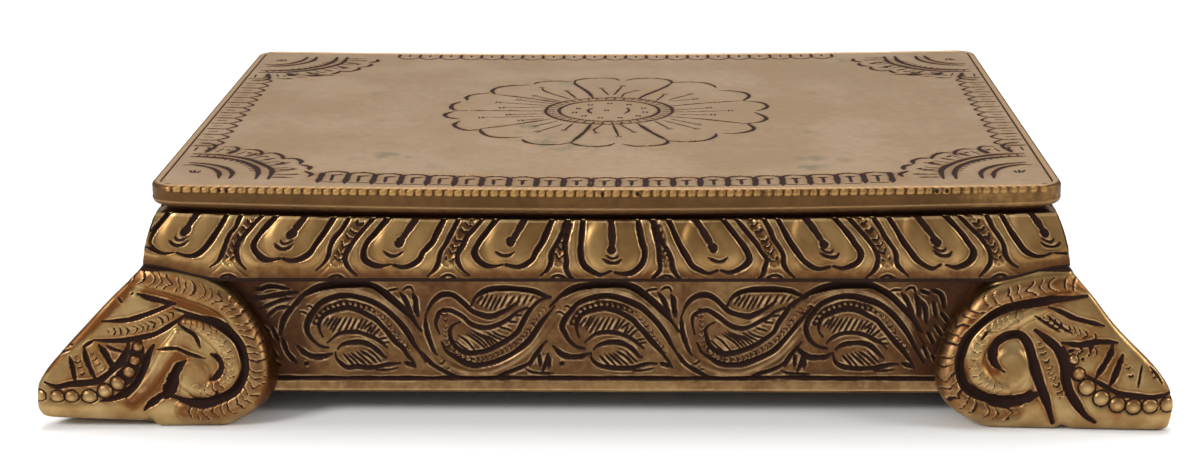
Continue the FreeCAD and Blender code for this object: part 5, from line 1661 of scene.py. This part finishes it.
# Lines on the top, in millimetres from its middle. Each petal of the rosette
# has a spoke, two lobes of its outline and stamens with barred tips.
ROSETTE_MIDDLE = (-0.5, 3.3)
SPOKES = (
    line(1.1, -5.7, 20, -8, 30, -12, 41, -12.4, 45), line(1.1, 8.3, 19, 10, 24, 16, 35, 18.7, 42),
    line(0.8, 18, 9, 28, 13, 40, 16), line(1.0, 18, -5, 27, -8, 35, -12, 41, -15),
    line(1.2, 8.5, -14, 12, -24, 17, -35), line(1.1, -5.5, -14, -7, -24, -10.6, -38),
    line(0.9, -18, -8, -28, -15, -38, -21), line(0.8, -20, 2.5, -35, 3, -47, 2.6),
    line(0.9, -16, 14, -27, 21, -37, 26),
)
LOBES = (
    line(1.0, -12.4, 44, -12, 47, -9, 49.6, -5, 50.6, 0, 49.8, 2, 46.6),
    line(1.0, 4, 46.8, 7, 49.4, 12, 50.2, 16.6, 48.4, 18.8, 45, 18.7, 42),
    line(1.0, 18.9, 43, 24, 44.2, 29, 43, 32, 39, 33, 35),
    line(1.1, 34, 31, 38, 30.4, 42, 27, 43, 22, 41, 16.4),
    line(1.1, 41, 16.2, 46, 13.6, 48, 9, 47.2, 5, 44.8, 2),
    line(1.1, 43.8, 0, 46.4, -5, 46.8, -9, 45, -12.6, 41.4, -14.6),
    line(1.2, 41, -14.6, 42.6, -20, 41.8, -24, 38, -26.6, 33.6, -27),
    line(1.2, 31.4, -27.4, 31, -31, 28, -35.4, 22, -37, 17.4, -35.6),
    line(1.2, 17, -35, 17, -38.6, 14.2, -41.2, 8, -42, 4.4, -39.8),
    line(1.1, 2, -38.8, 0, -41.6, -4, -42.5, -8, -41.2, -11, -37.8),
    line(1.2, -11, -38.2, -14, -40, -19, -40, -23, -38, -25, -34),
    line(1.2, -25.4, -31, -31, -32, -35, -30, -37.2, -26, -38, -22),
    line(1.2, -38, -22, -42, -22.8, -45.4, -19, -46.2, -15, -45, -11.4),
    line(1.2, -45.4, -8.6, -49.4, -6, -50.2, -2, -48, 1.4),
    line(1.2, -47, 2.4, -49, 6, -49, 11, -47, 15), line(1.1, -45, 17, -45.6, 22, -43, 26, -39, 27.4),
    line(1.2, -37, 26, -38.2, 31, -36.6, 36, -32, 39, -26.4, 39.6),
    line(1.0, -25.4, 41, -24, 44, -19, 46, -13.4, 45.2),
)
STAMENS = (
    line(0.6, -1, 25, -3.5, 34.6), line(0.6, 0.5, 25, 3, 38), line(0.6, 3, 22, 4, 27, 7.4, 31),
    line(0.6, 14, 17, 16.5, 25.6), line(0.6, 17.6, 17.6, 24.4, 25.6), line(0.6, 18, 16, 25.6, 18.8),
    line(0.6, 19.6, 4, 29.6, 6.4), line(0.6, 19, 1, 36, 2.5), line(0.6, 20, -2, 30.6, -3),
    line(0.6, 13.5, -11, 17.6, -20.4), line(0.6, 16, -10, 25.4, -20.6), line(0.6, 18, -8, 26, -15),
    line(0.6, -2, -15, -4.4, -22, -3.6, -25.4), line(0.7, 1, -15, 2.9, -30),
    line(0.6, 3, -15, 7.2, -24.4), line(0.6, -11, -14, -13, -22), line(0.6, -14, -15, -20.6, -24),
    line(0.6, -16, -11, -21.6, -17), line(0.6, -20, -7.6, -26.4, -9.8),
    line(0.6, -20.4, -1, -30.4, -2.4), line(0.6, -20, -4.6, -38.4, -6.4),
    line(0.6, -20, 8, -33, 7), line(0.6, -19, 10, -34.6, 14.2), line(0.6, -18, 12.6, -28.6, 17.8),
    line(0.6, -16, 16, -24, 23.6), line(0.7, -13, 19, -21, 30, -22.6, 35.6),
    line(0.7, -11, 20, -14.4, 31),
)
# Rings round the eye, each with its radius and the width of its line
RINGS = ((19.4, 0.9), (15.3, 1.0))
RING_FLATNESS = 0.93
RING_TEETH = (16.6, 18.6)
SPOTS = ((-6.5, 11), (-0.5, 13), (5.5, 11.5), (-10, 6), (10, 6.5), (-11, 0.5), (10.5, 1),
         (-8, -4), (8.5, -4), (3, -6.5), (-3, -6.4), (-1.3, 3.4))
EYE = (line(0.8, -5.6, 7, -6.9, 3.4, -5.6, -1), line(0.7, 5, 7, 5.6, 3, 4.2, -1))
# The fan of the front left corner, from the corner of the plate
FAN = (
    line(1.6, 5, 36.5, 13, 35.6, 21, 31.6, 27, 25, 30, 19, 30.5, 10),
    line(1.6, 5, 33.4, 12, 32.6, 18, 30.4, 24, 24, 26.6, 17, 27, 10),
    line(1.4, 6, 26.6, 12, 25, 17, 21, 19.6, 16, 20, 10),
    line(1.3, 5, 23.6, 8, 24, 13, 21, 16, 16, 17, 10),
    line(0.9, 8, 38, 9, 41.6), line(0.9, 14.6, 37.4, 16, 40.6), line(0.9, 20.6, 34.8, 23, 37.6),
    line(0.9, 26, 30.6, 28.6, 33), line(0.9, 29.6, 26, 33.6, 28), line(0.9, 31.8, 20, 36.6, 21),
    line(0.9, 32, 15, 38, 15.4),
    line(1.0, 5, 48.5, 7.6, 48.6, 9.5, 46, 9, 42, 7.6, 40),
    line(1.0, 12, 45, 15, 45.6, 16.5, 43, 16, 39.4, 15, 37),
    line(1.1, 18.4, 42.4, 21, 42.8, 23.4, 40.4, 24, 37, 23, 35.4),
    line(1.2, 25, 38.2, 27.2, 39, 30, 36, 31, 32), line(1.2, 31, 32.4, 34, 33, 36.5, 30, 36.5, 26.4),
    line(1.3, 37, 26, 39.6, 24, 40, 20.4), line(1.3, 39, 19, 41.4, 16, 41, 13),
    line(0.9, 31, 12, 37, 12), line(0.6, 7.6, 18, 8.6, 15.4), line(0.6, 9, 18.2, 9.4, 15),
    line(0.6, 10.6, 17.8, 10.2, 15.2),
)
FAN_MIDDLE = (3.0, 11.0)
# Rays of the fan: first and past-last angle, step, distance from the fan's middle, length, width
FAN_RAYS = ((20.0, 86.0, 5.5, 22.4, 2.4, 0.55), (8.0, 88.0, 6.6, 28.8, 4.6, 0.5))
FAN_SPOTS = ((8, 43.6), (14, 41.6), (20.5, 38.6), (26, 34.4), (31.5, 28), (35.5, 21.4), (37, 15.6))
# Stretches of the outer fields, by column and by row, that carry no engraving
PLAIN_X = {0: (-106.0, -54.0), 2: (54.0, 106.0)}
PLAIN_Y = {0: (-70.5, -47.0), 2: (55.5, 77.0)}
# Level of the plain top before the lines are cut, and width of the ring round the fields
REST_LEVEL = TOP_LEVEL - 0.16
RING_WIDTH = 3.1


@dataclass
class PlateEdge:
    """Ring of the top plate: its rounded edge with a row of beads, and the groove inside it."""

    cell: float = 0.36
    corner_radius: float = 7.0
    corner_points: int = 24
    round_points: int = 8
    upper_round: float = 1.1
    lower_round: float = 1.2
    under_inset: float = 6.4
    under_rises: Point = (1.0, 1.4)
    bow: float = 0.3
    bow_waves: float = 1.5
    bow_fade: Point = (1.2, 3.0)
    # Where the painted lit tone starts on the ring's upper faces, over the painted shade of its
    # upright ones
    pale_run: Point = (0.5, 0.8)
    bead_pitch: float = 2.5
    bead_depth: float = 0.26
    bead_press: Point = (0.7, 0.8)
    bead_height: float = 1.9
    bead_middle: float = 0.95
    bead_inset: float = 1.4
    bead_slant: float = 0.1
    bead_slip: Point = (0.12, 0.9)
    bead_ends: float = 4.0
    bead_wax: float = 0.18
    ridge_power: float = 0.34
    seed: int = 5
    pits: tuple[float, ...] = (-102.6, -100.7, -0.4, 9.0, 88.1, 90.8)
    pit_half: float = 0.6
    pit_depth: float = 0.25
    lip_reach: float = 0.12
    lip_rows: tuple[float, ...] = (0.75, 0.5, 0.3, 0.15, 0.0)
    lip_rise: float = 0.15
    # Painted highlight along the plate's lower edge, and painted shade on the face above it
    lip_half: float = 0.25
    lip_pale: float = 0.4
    lip_shine: float = 0.5
    face_shade: float = 0.34
    # Painted highlight on the front face towards its right end: its strength, then where it starts and
    # over what length
    face_shade_run: Point = (2.0, 3.0)
    end_gleam_share: float = 0.46
    end_gleam_run: Point = (82.0, 20.0)
    border_inset: float = 2.55
    border_half: float = 0.5
    border_depth: float = 0.4

    def __post_init__(self) -> None:
        """Work out the plan and the section."""
        self.plan, self.normal = self.outline()
        self.inset, self.level = self.section()
        self.on_face = self.inset < 0.3

    def outline(self) -> tuple[np.ndarray, np.ndarray]:
        """Rounded outline of the plate: points and outward normals."""
        radius = self.corner_radius
        reach_x, reach_y = HALF_WIDTH - radius, HALF_DEPTH - radius
        points, normals = [], []
        corners = ((1, -1), (1, 1), (-1, 1), (-1, -1))
        for number, (sx, sy) in enumerate(corners):
            centre = np.array([sx * reach_x, sy * reach_y])
            angles = np.radians(-90.0 + 90.0 * number + np.linspace(0.0, 90.0, self.corner_points))
            normal = np.stack([np.cos(angles), np.sin(angles)], axis=1)
            arc = centre + normal * radius
            following = corners[(number + 1) % 4]
            goal = np.array([following[0] * reach_x, following[1] * reach_y]) + normal[-1] * radius
            count = int(np.linalg.norm(goal - arc[-1]) / self.cell)
            t = np.linspace(0.0, 1.0, count, endpoint=False)[1:, None]
            points += [arc, arc[-1] * (1 - t) + goal * t]
            normals += [normal, np.repeat(normal[-1:], len(t), axis=0)]
        return np.concatenate(points), np.concatenate(normals)

    def section(self) -> tuple[np.ndarray, np.ndarray]:
        """Insets and levels of the ring's section, from its inner rim over the edge to below."""
        top, bottom = REST_LEVEL + 0.01, PLATE_UNDERSIDE
        count = self.round_points
        flat = np.linspace(RING_WIDTH, self.upper_round, count)
        turn = np.radians(np.linspace(90.0, 0.0, count))[1:]
        under = np.radians(np.linspace(0.0, -90.0, count))[1:]
        low = bottom + self.lower_round
        face = np.concatenate([np.linspace(top - self.upper_round, low + 1.0, count)[1:],
                               low + np.array(self.lip_rows)])
        inset = np.concatenate([
            flat, self.upper_round * (1 - np.cos(turn)), np.zeros(face.size),
            self.lower_round * (1 - np.cos(under)),
            [self.under_inset, self.under_inset, RING_WIDTH]])
        level = np.concatenate([
            np.full(flat.size, top), top - self.upper_round * (1 - np.sin(turn)), face,
            bottom + self.lower_round * (1 + np.sin(under)),
            [bottom, *(bottom + rise for rise in self.under_rises)]])
        return inset, level

    def build(self) -> bpy.types.Object:
        """Carve and close the ring."""
        wave = self.bow * (0.5 - 0.5 * np.cos(
            self.plan[:, 0] / HALF_WIDTH * math.pi * self.bow_waves))
        most, fade = self.bow_fade
        bowed = np.clip(most - self.inset / fade, 0.0, 1.0)
        depth = self.inset[:, None] + wave[None, :] * bowed[:, None]
        points = np.empty(depth.shape + (3,))
        points[..., :2] = self.plan[None] - self.normal[None] * depth[..., None]
        points[..., 2] = self.level[:, None]
        marks = blank_marks(depth.shape)
        # Painted lit tone on the ring's upper faces; the upright faces keep the finish's dark body as
        # painted shade
        start, run = self.pale_run
        pale = ease((self.inset - start) / run) * (self.level > REST_LEVEL - 1.0)
        marks["pale"] = np.repeat(pale[:, None], depth.shape[1], axis=1)
        self.bead_row(points, marks)
        self.lower_lip(points, marks)
        # Painted highlight on the front face towards its right end
        start, run = self.end_gleam_run
        end_gleam = self.end_gleam_share * ease((self.plan[:, 0] - start) / run) * (self.normal[:, 1] < -0.5)
        raise_to(marks["shine"], ..., self.on_face[:, None] * end_gleam[None, :])
        self.border_groove(points, marks)
        piece = casting("top_edge", Sag().apply(points), marks, FINISHES["edge_brass"], ring=True)
        settle(piece, "top_brass", "top_plate")
        return piece

    def bead_row(self, points: np.ndarray, marks: dict[str, np.ndarray]) -> None:
        """Press the row of beads along the front arris, with a few deep pits.

        Args:
            points: Points of the ring, which are moved.
            marks: Marks of the ring, which are filled in.
        """
        across = self.plan[:, 0]
        front = (self.normal[:, 1] < -0.95) & (np.abs(across) < HALF_WIDTH - self.bead_ends)
        run = across / self.bead_pitch
        below = TOP_LEVEL - self.level
        slip, waves = self.bead_slip
        slant = self.bead_slant * below[:, None] + slip * np.sin(run * waves)[None, :]
        ridge = np.abs(np.sin(math.pi * (run[None, :] + slant))) ** self.ridge_power
        sunk = (below - self.bead_middle) / (0.6 * self.bead_height)
        gap = 1.0 - ridge * np.sqrt(np.clip(1.0 - 0.6 * sunk ** 2, 0.0, 1.0))[:, None]
        high = ease((self.bead_height - below) / 0.4) * ease((self.bead_inset - self.inset) / 0.5)
        zone = high[:, None] * front[None, :]
        inwards, down = self.bead_press
        points[..., :2] -= self.normal[None] * (gap * zone * self.bead_depth * inwards)[..., None]
        points[..., 2] -= gap * zone * self.bead_depth * down
        marks["wax"] = np.clip(gap * 2.0 - 1.0, 0.0, self.bead_wax) * zone
        # Painted shade in the gaps between the beads
        marks["grime_and_shade"] = np.clip(gap * 1.1, 0.0, 1.0) * zone
        # Painted highlight on the beads, uneven from bead to bead and weaker on the round
        uneven_gleam = np.clip(1.0 + 0.25 * np.random.default_rng(self.seed).normal(0.0, 1.0, run.size),
                       0.6, 1.0)
        on_face = 1.0 - 0.5 * ease(self.inset / 0.6)
        marks["shine"] = (np.clip(1.1 - gap * 1.6, 0.0, 1.0) * zone * uneven_gleam[None]
                          * on_face[:, None])
        for pit in self.pits:
            hollow = (np.exp(-((across - pit) / self.pit_half) ** 2)[None, :]
                      * np.exp(-(1.6 * sunk) ** 2)[:, None] * zone)
            raise_to(marks["wax"], ..., hollow)
            points[..., 2] -= self.pit_depth * hollow

    def lower_lip(self, points: np.ndarray, marks: dict[str, np.ndarray]) -> None:
        """Raise the pale line along the foot of the plate's face with a painted highlight, and paint
        shade on the face above.
        """
        middle = PLATE_UNDERSIDE + self.lower_round + self.lip_rise
        lip = (np.exp(-((self.level - middle) / self.lip_half) ** 2) * self.on_face)[:, None]
        points[..., :2] += self.normal[None] * (self.lip_reach * lip)[..., None]
        raise_to(marks["pale"], ..., self.lip_pale * lip)
        raise_to(marks["shine"], ..., self.lip_shine * lip)
        start, run = self.face_shade_run
        fall = np.clip((TOP_LEVEL - start - self.level) / run, 0.0, 1.0) * self.on_face
        raise_to(marks["grime_and_shade"], ..., self.face_shade * fall[:, None] * (1.0 - lip))

    def border_groove(self, points: np.ndarray, marks: dict[str, np.ndarray]) -> None:
        """Cut the line that follows the edge on the ring's flat part."""
        apart = np.abs(self.inset - self.border_inset)
        near = np.clip(1.0 - apart / self.border_half, 0.0, 1.0)[:, None]
        flat = (points[..., 2] > REST_LEVEL - 0.3) * (self.normal[:, 1] > -0.95)[None, :]
        points[..., 2] -= self.border_depth * near * flat
        raise_to(marks["wax"], ..., near * flat)


@dataclass
class TopPlate:
    """Thick top: the ring with its edge, nine engraved fields and a plain underside.

    The levels of the front tabs are pairs: the level in the middle of the row, and how much
    higher it lies where the row has bowed out to tab_bow_at.
    """

    cell: float = 0.36
    wide_points: int = 14
    field_thickness: float = 1.2
    field_breaks_x: Point = (-52.5, 51.0)
    field_breaks_y: Point = (-45.5, 54.0)
    slip: float = 0.05
    burr_height: float = 0.004
    shoulder: float = 0.1
    cut_share: float = 0.2
    most_cut: float = 0.22
    tab_pitch: float = 7.35
    tab_first: float = -77.2
    tab_head: Point = (-78.6, 5.0)
    tab_middle: Point = (-82.0, 3.6)
    tab_foot: Point = (-88.3, 3.4)
    tab_bow_at: float = 77.0
    tabs: int = 21
    tab_veil: float = 0.42
    veil_level: float = -83.4
    veil_end: float = 88.0
    hooked_before: float = -30.0
    side_tab_pitch: float = 7.0
    side_tabs: int = 13
    underside_inset: float = 6.0
    underside_round: float = 0.8
    seed: int = 101

    @staticmethod
    def arch(middle: float, half: float, high: float) -> Stroke:
        """Arched head of a tab."""
        drop = 0.45 * half
        low, shoulder = high - 1.6 * drop, high - 0.45 * drop
        return line(1.05, middle - half, low, middle - 0.7 * half, shoulder, middle, high,
                    middle + 0.7 * half, shoulder, middle + half, low, ends=(0.7, 0.7))

    def front_tabs(self) -> list[Stroke]:
        """Row of arched tabs along the front edge, which bows a little."""
        strokes = []
        half = self.tab_pitch / 2.0
        for number in range(self.tabs + 1):
            x = self.tab_first + number * self.tab_pitch
            head, waist, foot = (level + rise * (x / self.tab_bow_at) ** 2 for level, rise in (
                self.tab_head, self.tab_middle, self.tab_foot))
            strokes.append(line(1.6, x, head - 0.8, x + 0.1, waist, x, foot, ends=(0.8, 0.3)))
            if number == self.tabs:
                break
            middle = x + half
            strokes.append(self.arch(middle, half, head + 1.0))
            hook = 0.5 if x < self.hooked_before else 0.0
            strokes.append(line(0.85, middle - hook, head - 2.6, middle - 0.6 * hook, foot + 2.0,
                                ends=(1.0, 0.5)))
            strokes.append(line(1.15, middle - 1.0 + hook, head - 2.7, middle + 1.0 + hook,
                                head - 2.4, ends=(0.8, 0.8)))
            strokes.append(line(0.6, x + 1.0, foot + 1.0, x + 6.4, foot + 0.9))
        return strokes

    def side_tabs_of(self, side: Side) -> list[Stroke]:
        """Row of narrow tabs along the back or a side, with a zigzag inside."""
        strokes = []
        pitch = self.side_tab_pitch
        count = self.tabs if side is Side.BACK else self.side_tabs
        edge = RING_WIDTH - side.distance
        for number in range(count + 1):
            x = (number - count / 2.0) * pitch
            strokes.append(line(0.9, x, edge + 0.4, x, edge + 6.0))
            if number == count:
                break
            middle = x + pitch / 2.0
            strokes.append(line(0.6, middle, edge + 1.4, middle, edge + 4.6))
            strokes.append(line(0.8, x, edge + 6.0, middle, edge + 8.6, x + pitch, edge + 6.0))
        return [self.turned(stroke, side) for stroke in strokes]

    @staticmethod
    def turned(stroke: Stroke, side: Side) -> Stroke:
        """Turn a stroke drawn for the front round to a side."""
        moved = side.turn(np.array([(a, b, 0.0) for a, b in stroke.points]))
        return replace(stroke, points=tuple((a, b) for a, b, _ in moved))

    def rosette(self) -> list[Stroke]:
        """All lines of the rosette."""
        strokes = list(SPOKES + LOBES + STAMENS + EYE)
        middle = np.array(ROSETTE_MIDDLE)

        def around(degrees: np.ndarray, radius: float) -> np.ndarray:
            angles = np.radians(degrees)
            ring = np.stack([np.cos(angles), RING_FLATNESS * np.sin(angles)], axis=1)
            return (middle + radius * ring).ravel()

        for radius, width in RINGS:
            strokes.append(line(width, *around(np.linspace(0.0, 360.0, 37), radius),
                                ends=(1.0, 1.0)))
        for angle in np.arange(4.0, 360.0, 9.0):
            inner, outer = (around(np.array([angle]), radius) for radius in RING_TEETH)
            strokes.append(line(0.6, *inner, *outer))
        for stamen in STAMENS:
            tip, before = np.array(stamen.points[-1]), np.array(stamen.points[-2])
            way = (tip - before) / np.linalg.norm(tip - before)
            across = np.array([-way[1], way[0]])
            for step in (0.0, 1.1):
                bar = tip + way * step
                strokes.append(line(0.5, *(bar - across), *(bar + across)))
        for x, y in SPOTS:
            for place in (x - 0.45, x + 0.55):
                strokes.append(line(0.55, place, y + 0.9, place, y - 0.9))
        return strokes

    def fans(self) -> list[Stroke]:
        """Fans of the four corners, mirrored from the front left one."""
        drawn = list(FAN)
        for x, y in FAN_SPOTS:
            drawn.append(line(1.1, x - 0.4, y + 0.5, x + 0.4, y - 0.5))
        for first, last, step, radius, length, width in FAN_RAYS:
            for angle in np.radians(np.arange(first, last, step)):
                way = np.array([math.cos(angle), math.sin(angle)])
                start = np.array(FAN_MIDDLE) + way * radius
                drawn.append(line(width, *start, *(start + way * length)))
        strokes = []
        for corner in Corner:
            sx, sy = corner.value
            for stroke in drawn:
                points = tuple((sx * (HALF_WIDTH - 0.6 - x), sy * (HALF_DEPTH - y + 0.6))
                               for x, y in stroke.points)
                strokes.append(replace(stroke, points=points))
        return strokes

    def build_fields(self) -> list[bpy.types.Object]:
        """Nine plates that tile the top, engraved where the drawing needs it."""
        strokes = self.rosette() + self.fans() + self.front_tabs()
        for side in (Side.BACK, Side.LEFT, Side.RIGHT):
            strokes += self.side_tabs_of(side)
        reach_x, reach_y = HALF_WIDTH - RING_WIDTH, HALF_DEPTH - RING_WIDTH
        breaks_x = (-reach_x, *self.field_breaks_x, reach_x)
        breaks_y = (-reach_y, *self.field_breaks_y, reach_y)
        pieces = []
        for column in range(3):
            for row in range(3):
                area = (breaks_x[column], breaks_x[column + 1], breaks_y[row], breaks_y[row + 1])
                name = "top_field_%d_%d" % (column + 1, row + 1)
                pieces.append(self.build_field(name, area, strokes, column, row))
        return pieces

    def places(self, low: float, high: float, coarse: Point | None) -> np.ndarray:
        """Places of the points along one side of a field, wider apart in a plain stretch."""
        places = np.linspace(low, high, int((high - low) / self.cell))
        if coarse is None:
            return places
        keep = (places < coarse[0]) | (places > coarse[1])
        wide = np.linspace(coarse[0], coarse[1], self.wide_points)
        return np.unique(np.concatenate([places[keep], wide]))

    def build_field(self, name: str, area: tuple[float, float, float, float],
                    strokes: list[Stroke], column: int, row: int) -> bpy.types.Object:
        """One engraved plate.

        Args:
            name: Its name.
            area: Low and high X, low and high Y.
            strokes: All strokes of the top.
            column: 0, 1 or 2 from the left.
            row: 0, 1 or 2 from the front.

        Returns:
            The plate.
        """
        x = self.places(area[0], area[1], PLAIN_X.get(column) if row == 1 else None)
        y = self.places(area[2], area[3], PLAIN_Y.get(row) if column == 1 else None)
        across, up = np.meshgrid(x, y)
        relief = Relief(across, up, self.cell, self.seed + 3 * column + row, self.burr_height,
                        self.shoulder)
        for stroke in strokes:
            path = relief.path(stroke.points, None, self.slip)
            low, high = path.min(axis=0) - 2.0, path.max(axis=0) + 2.0
            if high[0] > area[0] and low[0] < area[1] and high[1] > area[2] and low[1] < area[3]:
                depth = min(self.cut_share * stroke.width, self.most_cut)
                relief.groove(path, stroke.width, depth, stroke.ends)
        if row == 0:
            bow = self.tab_middle[1] * (across / self.tab_bow_at) ** 2
            near = ease(1.6 - np.abs(up - bow - self.veil_level) / 5.0) * ease(
                (self.veil_end - np.abs(across)) / 8.0)
            raise_to(relief.darkening, ..., self.tab_veil * near.ravel())
        top = np.stack([across, up, REST_LEVEL + relief.height()], axis=-1)
        under = top[[-1, 0]].copy()
        under[..., 2] = REST_LEVEL - self.field_thickness
        points = Sag().apply(np.concatenate([top, under]))
        marks = {}
        for label, values in relief.marks().items():
            marks[label] = np.concatenate([values, np.zeros((2, x.size))])
        piece = casting(name, points, marks, FINISHES["top_brass"])
        settle(piece, "top_brass", "top_plate")
        return piece

    def build_underside(self) -> bpy.types.Object:
        """Plain plate that closes the top from below."""
        low, high = PLATE_UNDERSIDE + 0.05, REST_LEVEL - self.field_thickness - 0.2
        size = [2.0 * (half - self.underside_inset) for half in (HALF_WIDTH, HALF_DEPTH)]
        deselect_all()
        bpy.ops.mesh.primitive_cube_add(
            size=1.0, location=(0.0, 0.0, (low + high) / 2.0 * MM),
            scale=(size[0] * MM, size[1] * MM, (high - low) * MM))
        piece = bpy.context.object
        piece.name = "top_underside"
        bpy.ops.object.transform_apply(location=True, rotation=True, scale=True)
        bpy.ops.object.mode_set(mode="EDIT")
        bpy.ops.mesh.select_all(action="SELECT")
        bpy.ops.mesh.bevel(offset=self.underside_round * MM, segments=2)
        bpy.ops.object.mode_set(mode="OBJECT")
        bpy.ops.object.shade_smooth_by_angle(angle=CREASE)
        piece.data.materials.append(FINISHES["bracket_brass"])
        settle(piece, "top_brass", "top_plate")
        return piece

    def build(self) -> list[bpy.types.Object]:
        """Build the whole top."""
        return [PlateEdge().build(), *self.build_fields(), self.build_underside()]


@dataclass(frozen=True)
class Fittings:
    """Brackets and screws, which keep their CAD shape."""

    brackets: tuple[str, ...] = tuple("corner_bracket_" + corner.label for corner in Corner)
    screws: tuple[str, ...] = ("top_plate_screws", "frieze_screws", "foot_screws")

    def dress(self) -> None:
        """Give them their finishes."""
        for names, slot in ((self.brackets, "bracket_brass"), (self.screws, "screw_brass")):
            for name in names:
                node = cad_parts[name]
                for place in node.material_slots:
                    place.material = FINISHES[slot]
                log.info("%s dressed", name)


@dataclass(frozen=True)
class Lamp:
    """Soft square lamp that looks at the table, measured in metres and watts."""

    name: str
    place: Spot
    size: float
    power: float

    def hang(self) -> None:
        """Put it in the scene."""
        data = bpy.data.lights.new(self.name, "AREA")
        data.shape = "SQUARE"
        data.size = self.size
        data.energy = self.power
        item = bpy.data.objects.new(self.name, data)
        item.location = self.place
        item.rotation_euler = (-Vector(self.place)).to_track_quat("-Z", "Y").to_euler()
        bpy.context.scene.collection.objects.link(item)


@dataclass(frozen=True)
class Studio:
    """Pale floor, soft lamps and the camera at the photograph's angle."""

    yaw: float = -1.48
    pitch: float = 16.11
    roll: float = -0.39
    camera_place: Spot = (13.8, -667.6, 218.6)
    focal_share: float = 2249.8 / 1200.0
    sensor: float = 36.0
    sky: float = 0.5
    floor_size: float = 8.0
    floor_colour: Colour = (0.95, 0.95, 0.95)
    lamps: tuple[Lamp, ...] = (
        Lamp("overhead", (0.0, 0.4, 1.25), size=0.9, power=15.0),
        Lamp("key", (-0.9, -0.8, 0.8), size=0.4, power=8.8),
        Lamp("glint", (0.95, -0.35, 0.55), size=0.3, power=3.0),
    )

    def camera(self) -> None:
        """Set the camera."""
        yaw, pitch, roll = (math.radians(a) for a in (self.yaw, self.pitch, self.roll))
        ahead = Vector((math.sin(yaw) * math.cos(pitch), math.cos(yaw) * math.cos(pitch),
                        -math.sin(pitch)))
        right = Vector((math.cos(yaw), -math.sin(yaw), 0.0))
        up = right.cross(ahead)
        level_right = right * math.cos(roll) + up * math.sin(roll)
        level_up = up * math.cos(roll) - right * math.sin(roll)
        data = bpy.data.cameras.new("view")
        data.sensor_width = self.sensor
        data.lens = self.focal_share * self.sensor
        data.clip_start, data.clip_end = 0.01, 50.0
        item = bpy.data.objects.new("view", data)
        turn = Matrix((level_right, level_up, -ahead)).transposed().to_4x4()
        item.matrix_world = Matrix.Translation(Vector(self.camera_place) * MM) @ turn
        bpy.context.scene.collection.objects.link(item)
        bpy.context.scene.camera = item

    def floor(self) -> None:
        """Lay the pale floor."""
        deselect_all()
        bpy.ops.mesh.primitive_plane_add(size=self.floor_size)
        item = bpy.context.object
        item.name = "floor"
        recipe = Recipe("pale_floor")
        shader = recipe.node("ShaderNodeBsdfPrincipled", None, {
            "Base Color": self.floor_colour + (1.0,), "Roughness": 0.9,
            "Specular IOR Level": 0.1})
        recipe.tree.links.new(shader.outputs[0], recipe.output.inputs["Surface"])
        item.data.materials.append(recipe.material)

    def world(self) -> None:
        """Even pale light from all round."""
        world = bpy.data.worlds.new("studio")
        world.use_nodes = True
        background = world.node_tree.nodes["Background"]
        background.inputs["Color"].default_value = (1.0, 1.0, 1.0, 1.0)
        background.inputs["Strength"].default_value = self.sky
        bpy.context.scene.world = world

    def build(self) -> None:
        """Set up the studio."""
        self.camera()
        self.floor()
        self.world()
        for lamp in self.lamps:
            lamp.hang()
        bpy.context.scene.view_settings.view_transform = "Standard"


def main() -> None:
    """Build the table from the feet up and dress it."""
    logging.basicConfig(level=logging.INFO, format="%(message)s")
    finishes = {
        "top_brass": TOP_FINISH, "frieze_brass": FRIEZE_FINISH, "skirt_brass": SKIRT_FINISH,
        "foot_brass": FOOT_FINISH, "bracket_brass": BRACKET_FINISH, "screw_brass": SCREW_FINISH,
        "edge_brass": EDGE_FINISH}
    FINISHES.update({slot: finish.make() for slot, finish in finishes.items()})
    Studio().build()
    for corner in Corner:
        left = corner.value[0] < 0.0
        ScrollFoot(corner, LEFT_DRAWING if left else RIGHT_DRAWING).build()
    for side in Side:
        VineSkirt(side).build()
        LotusFrieze(side).build()
    TopPlate().build()
    Fittings().dress()


if __name__ == "__main__":
    main()
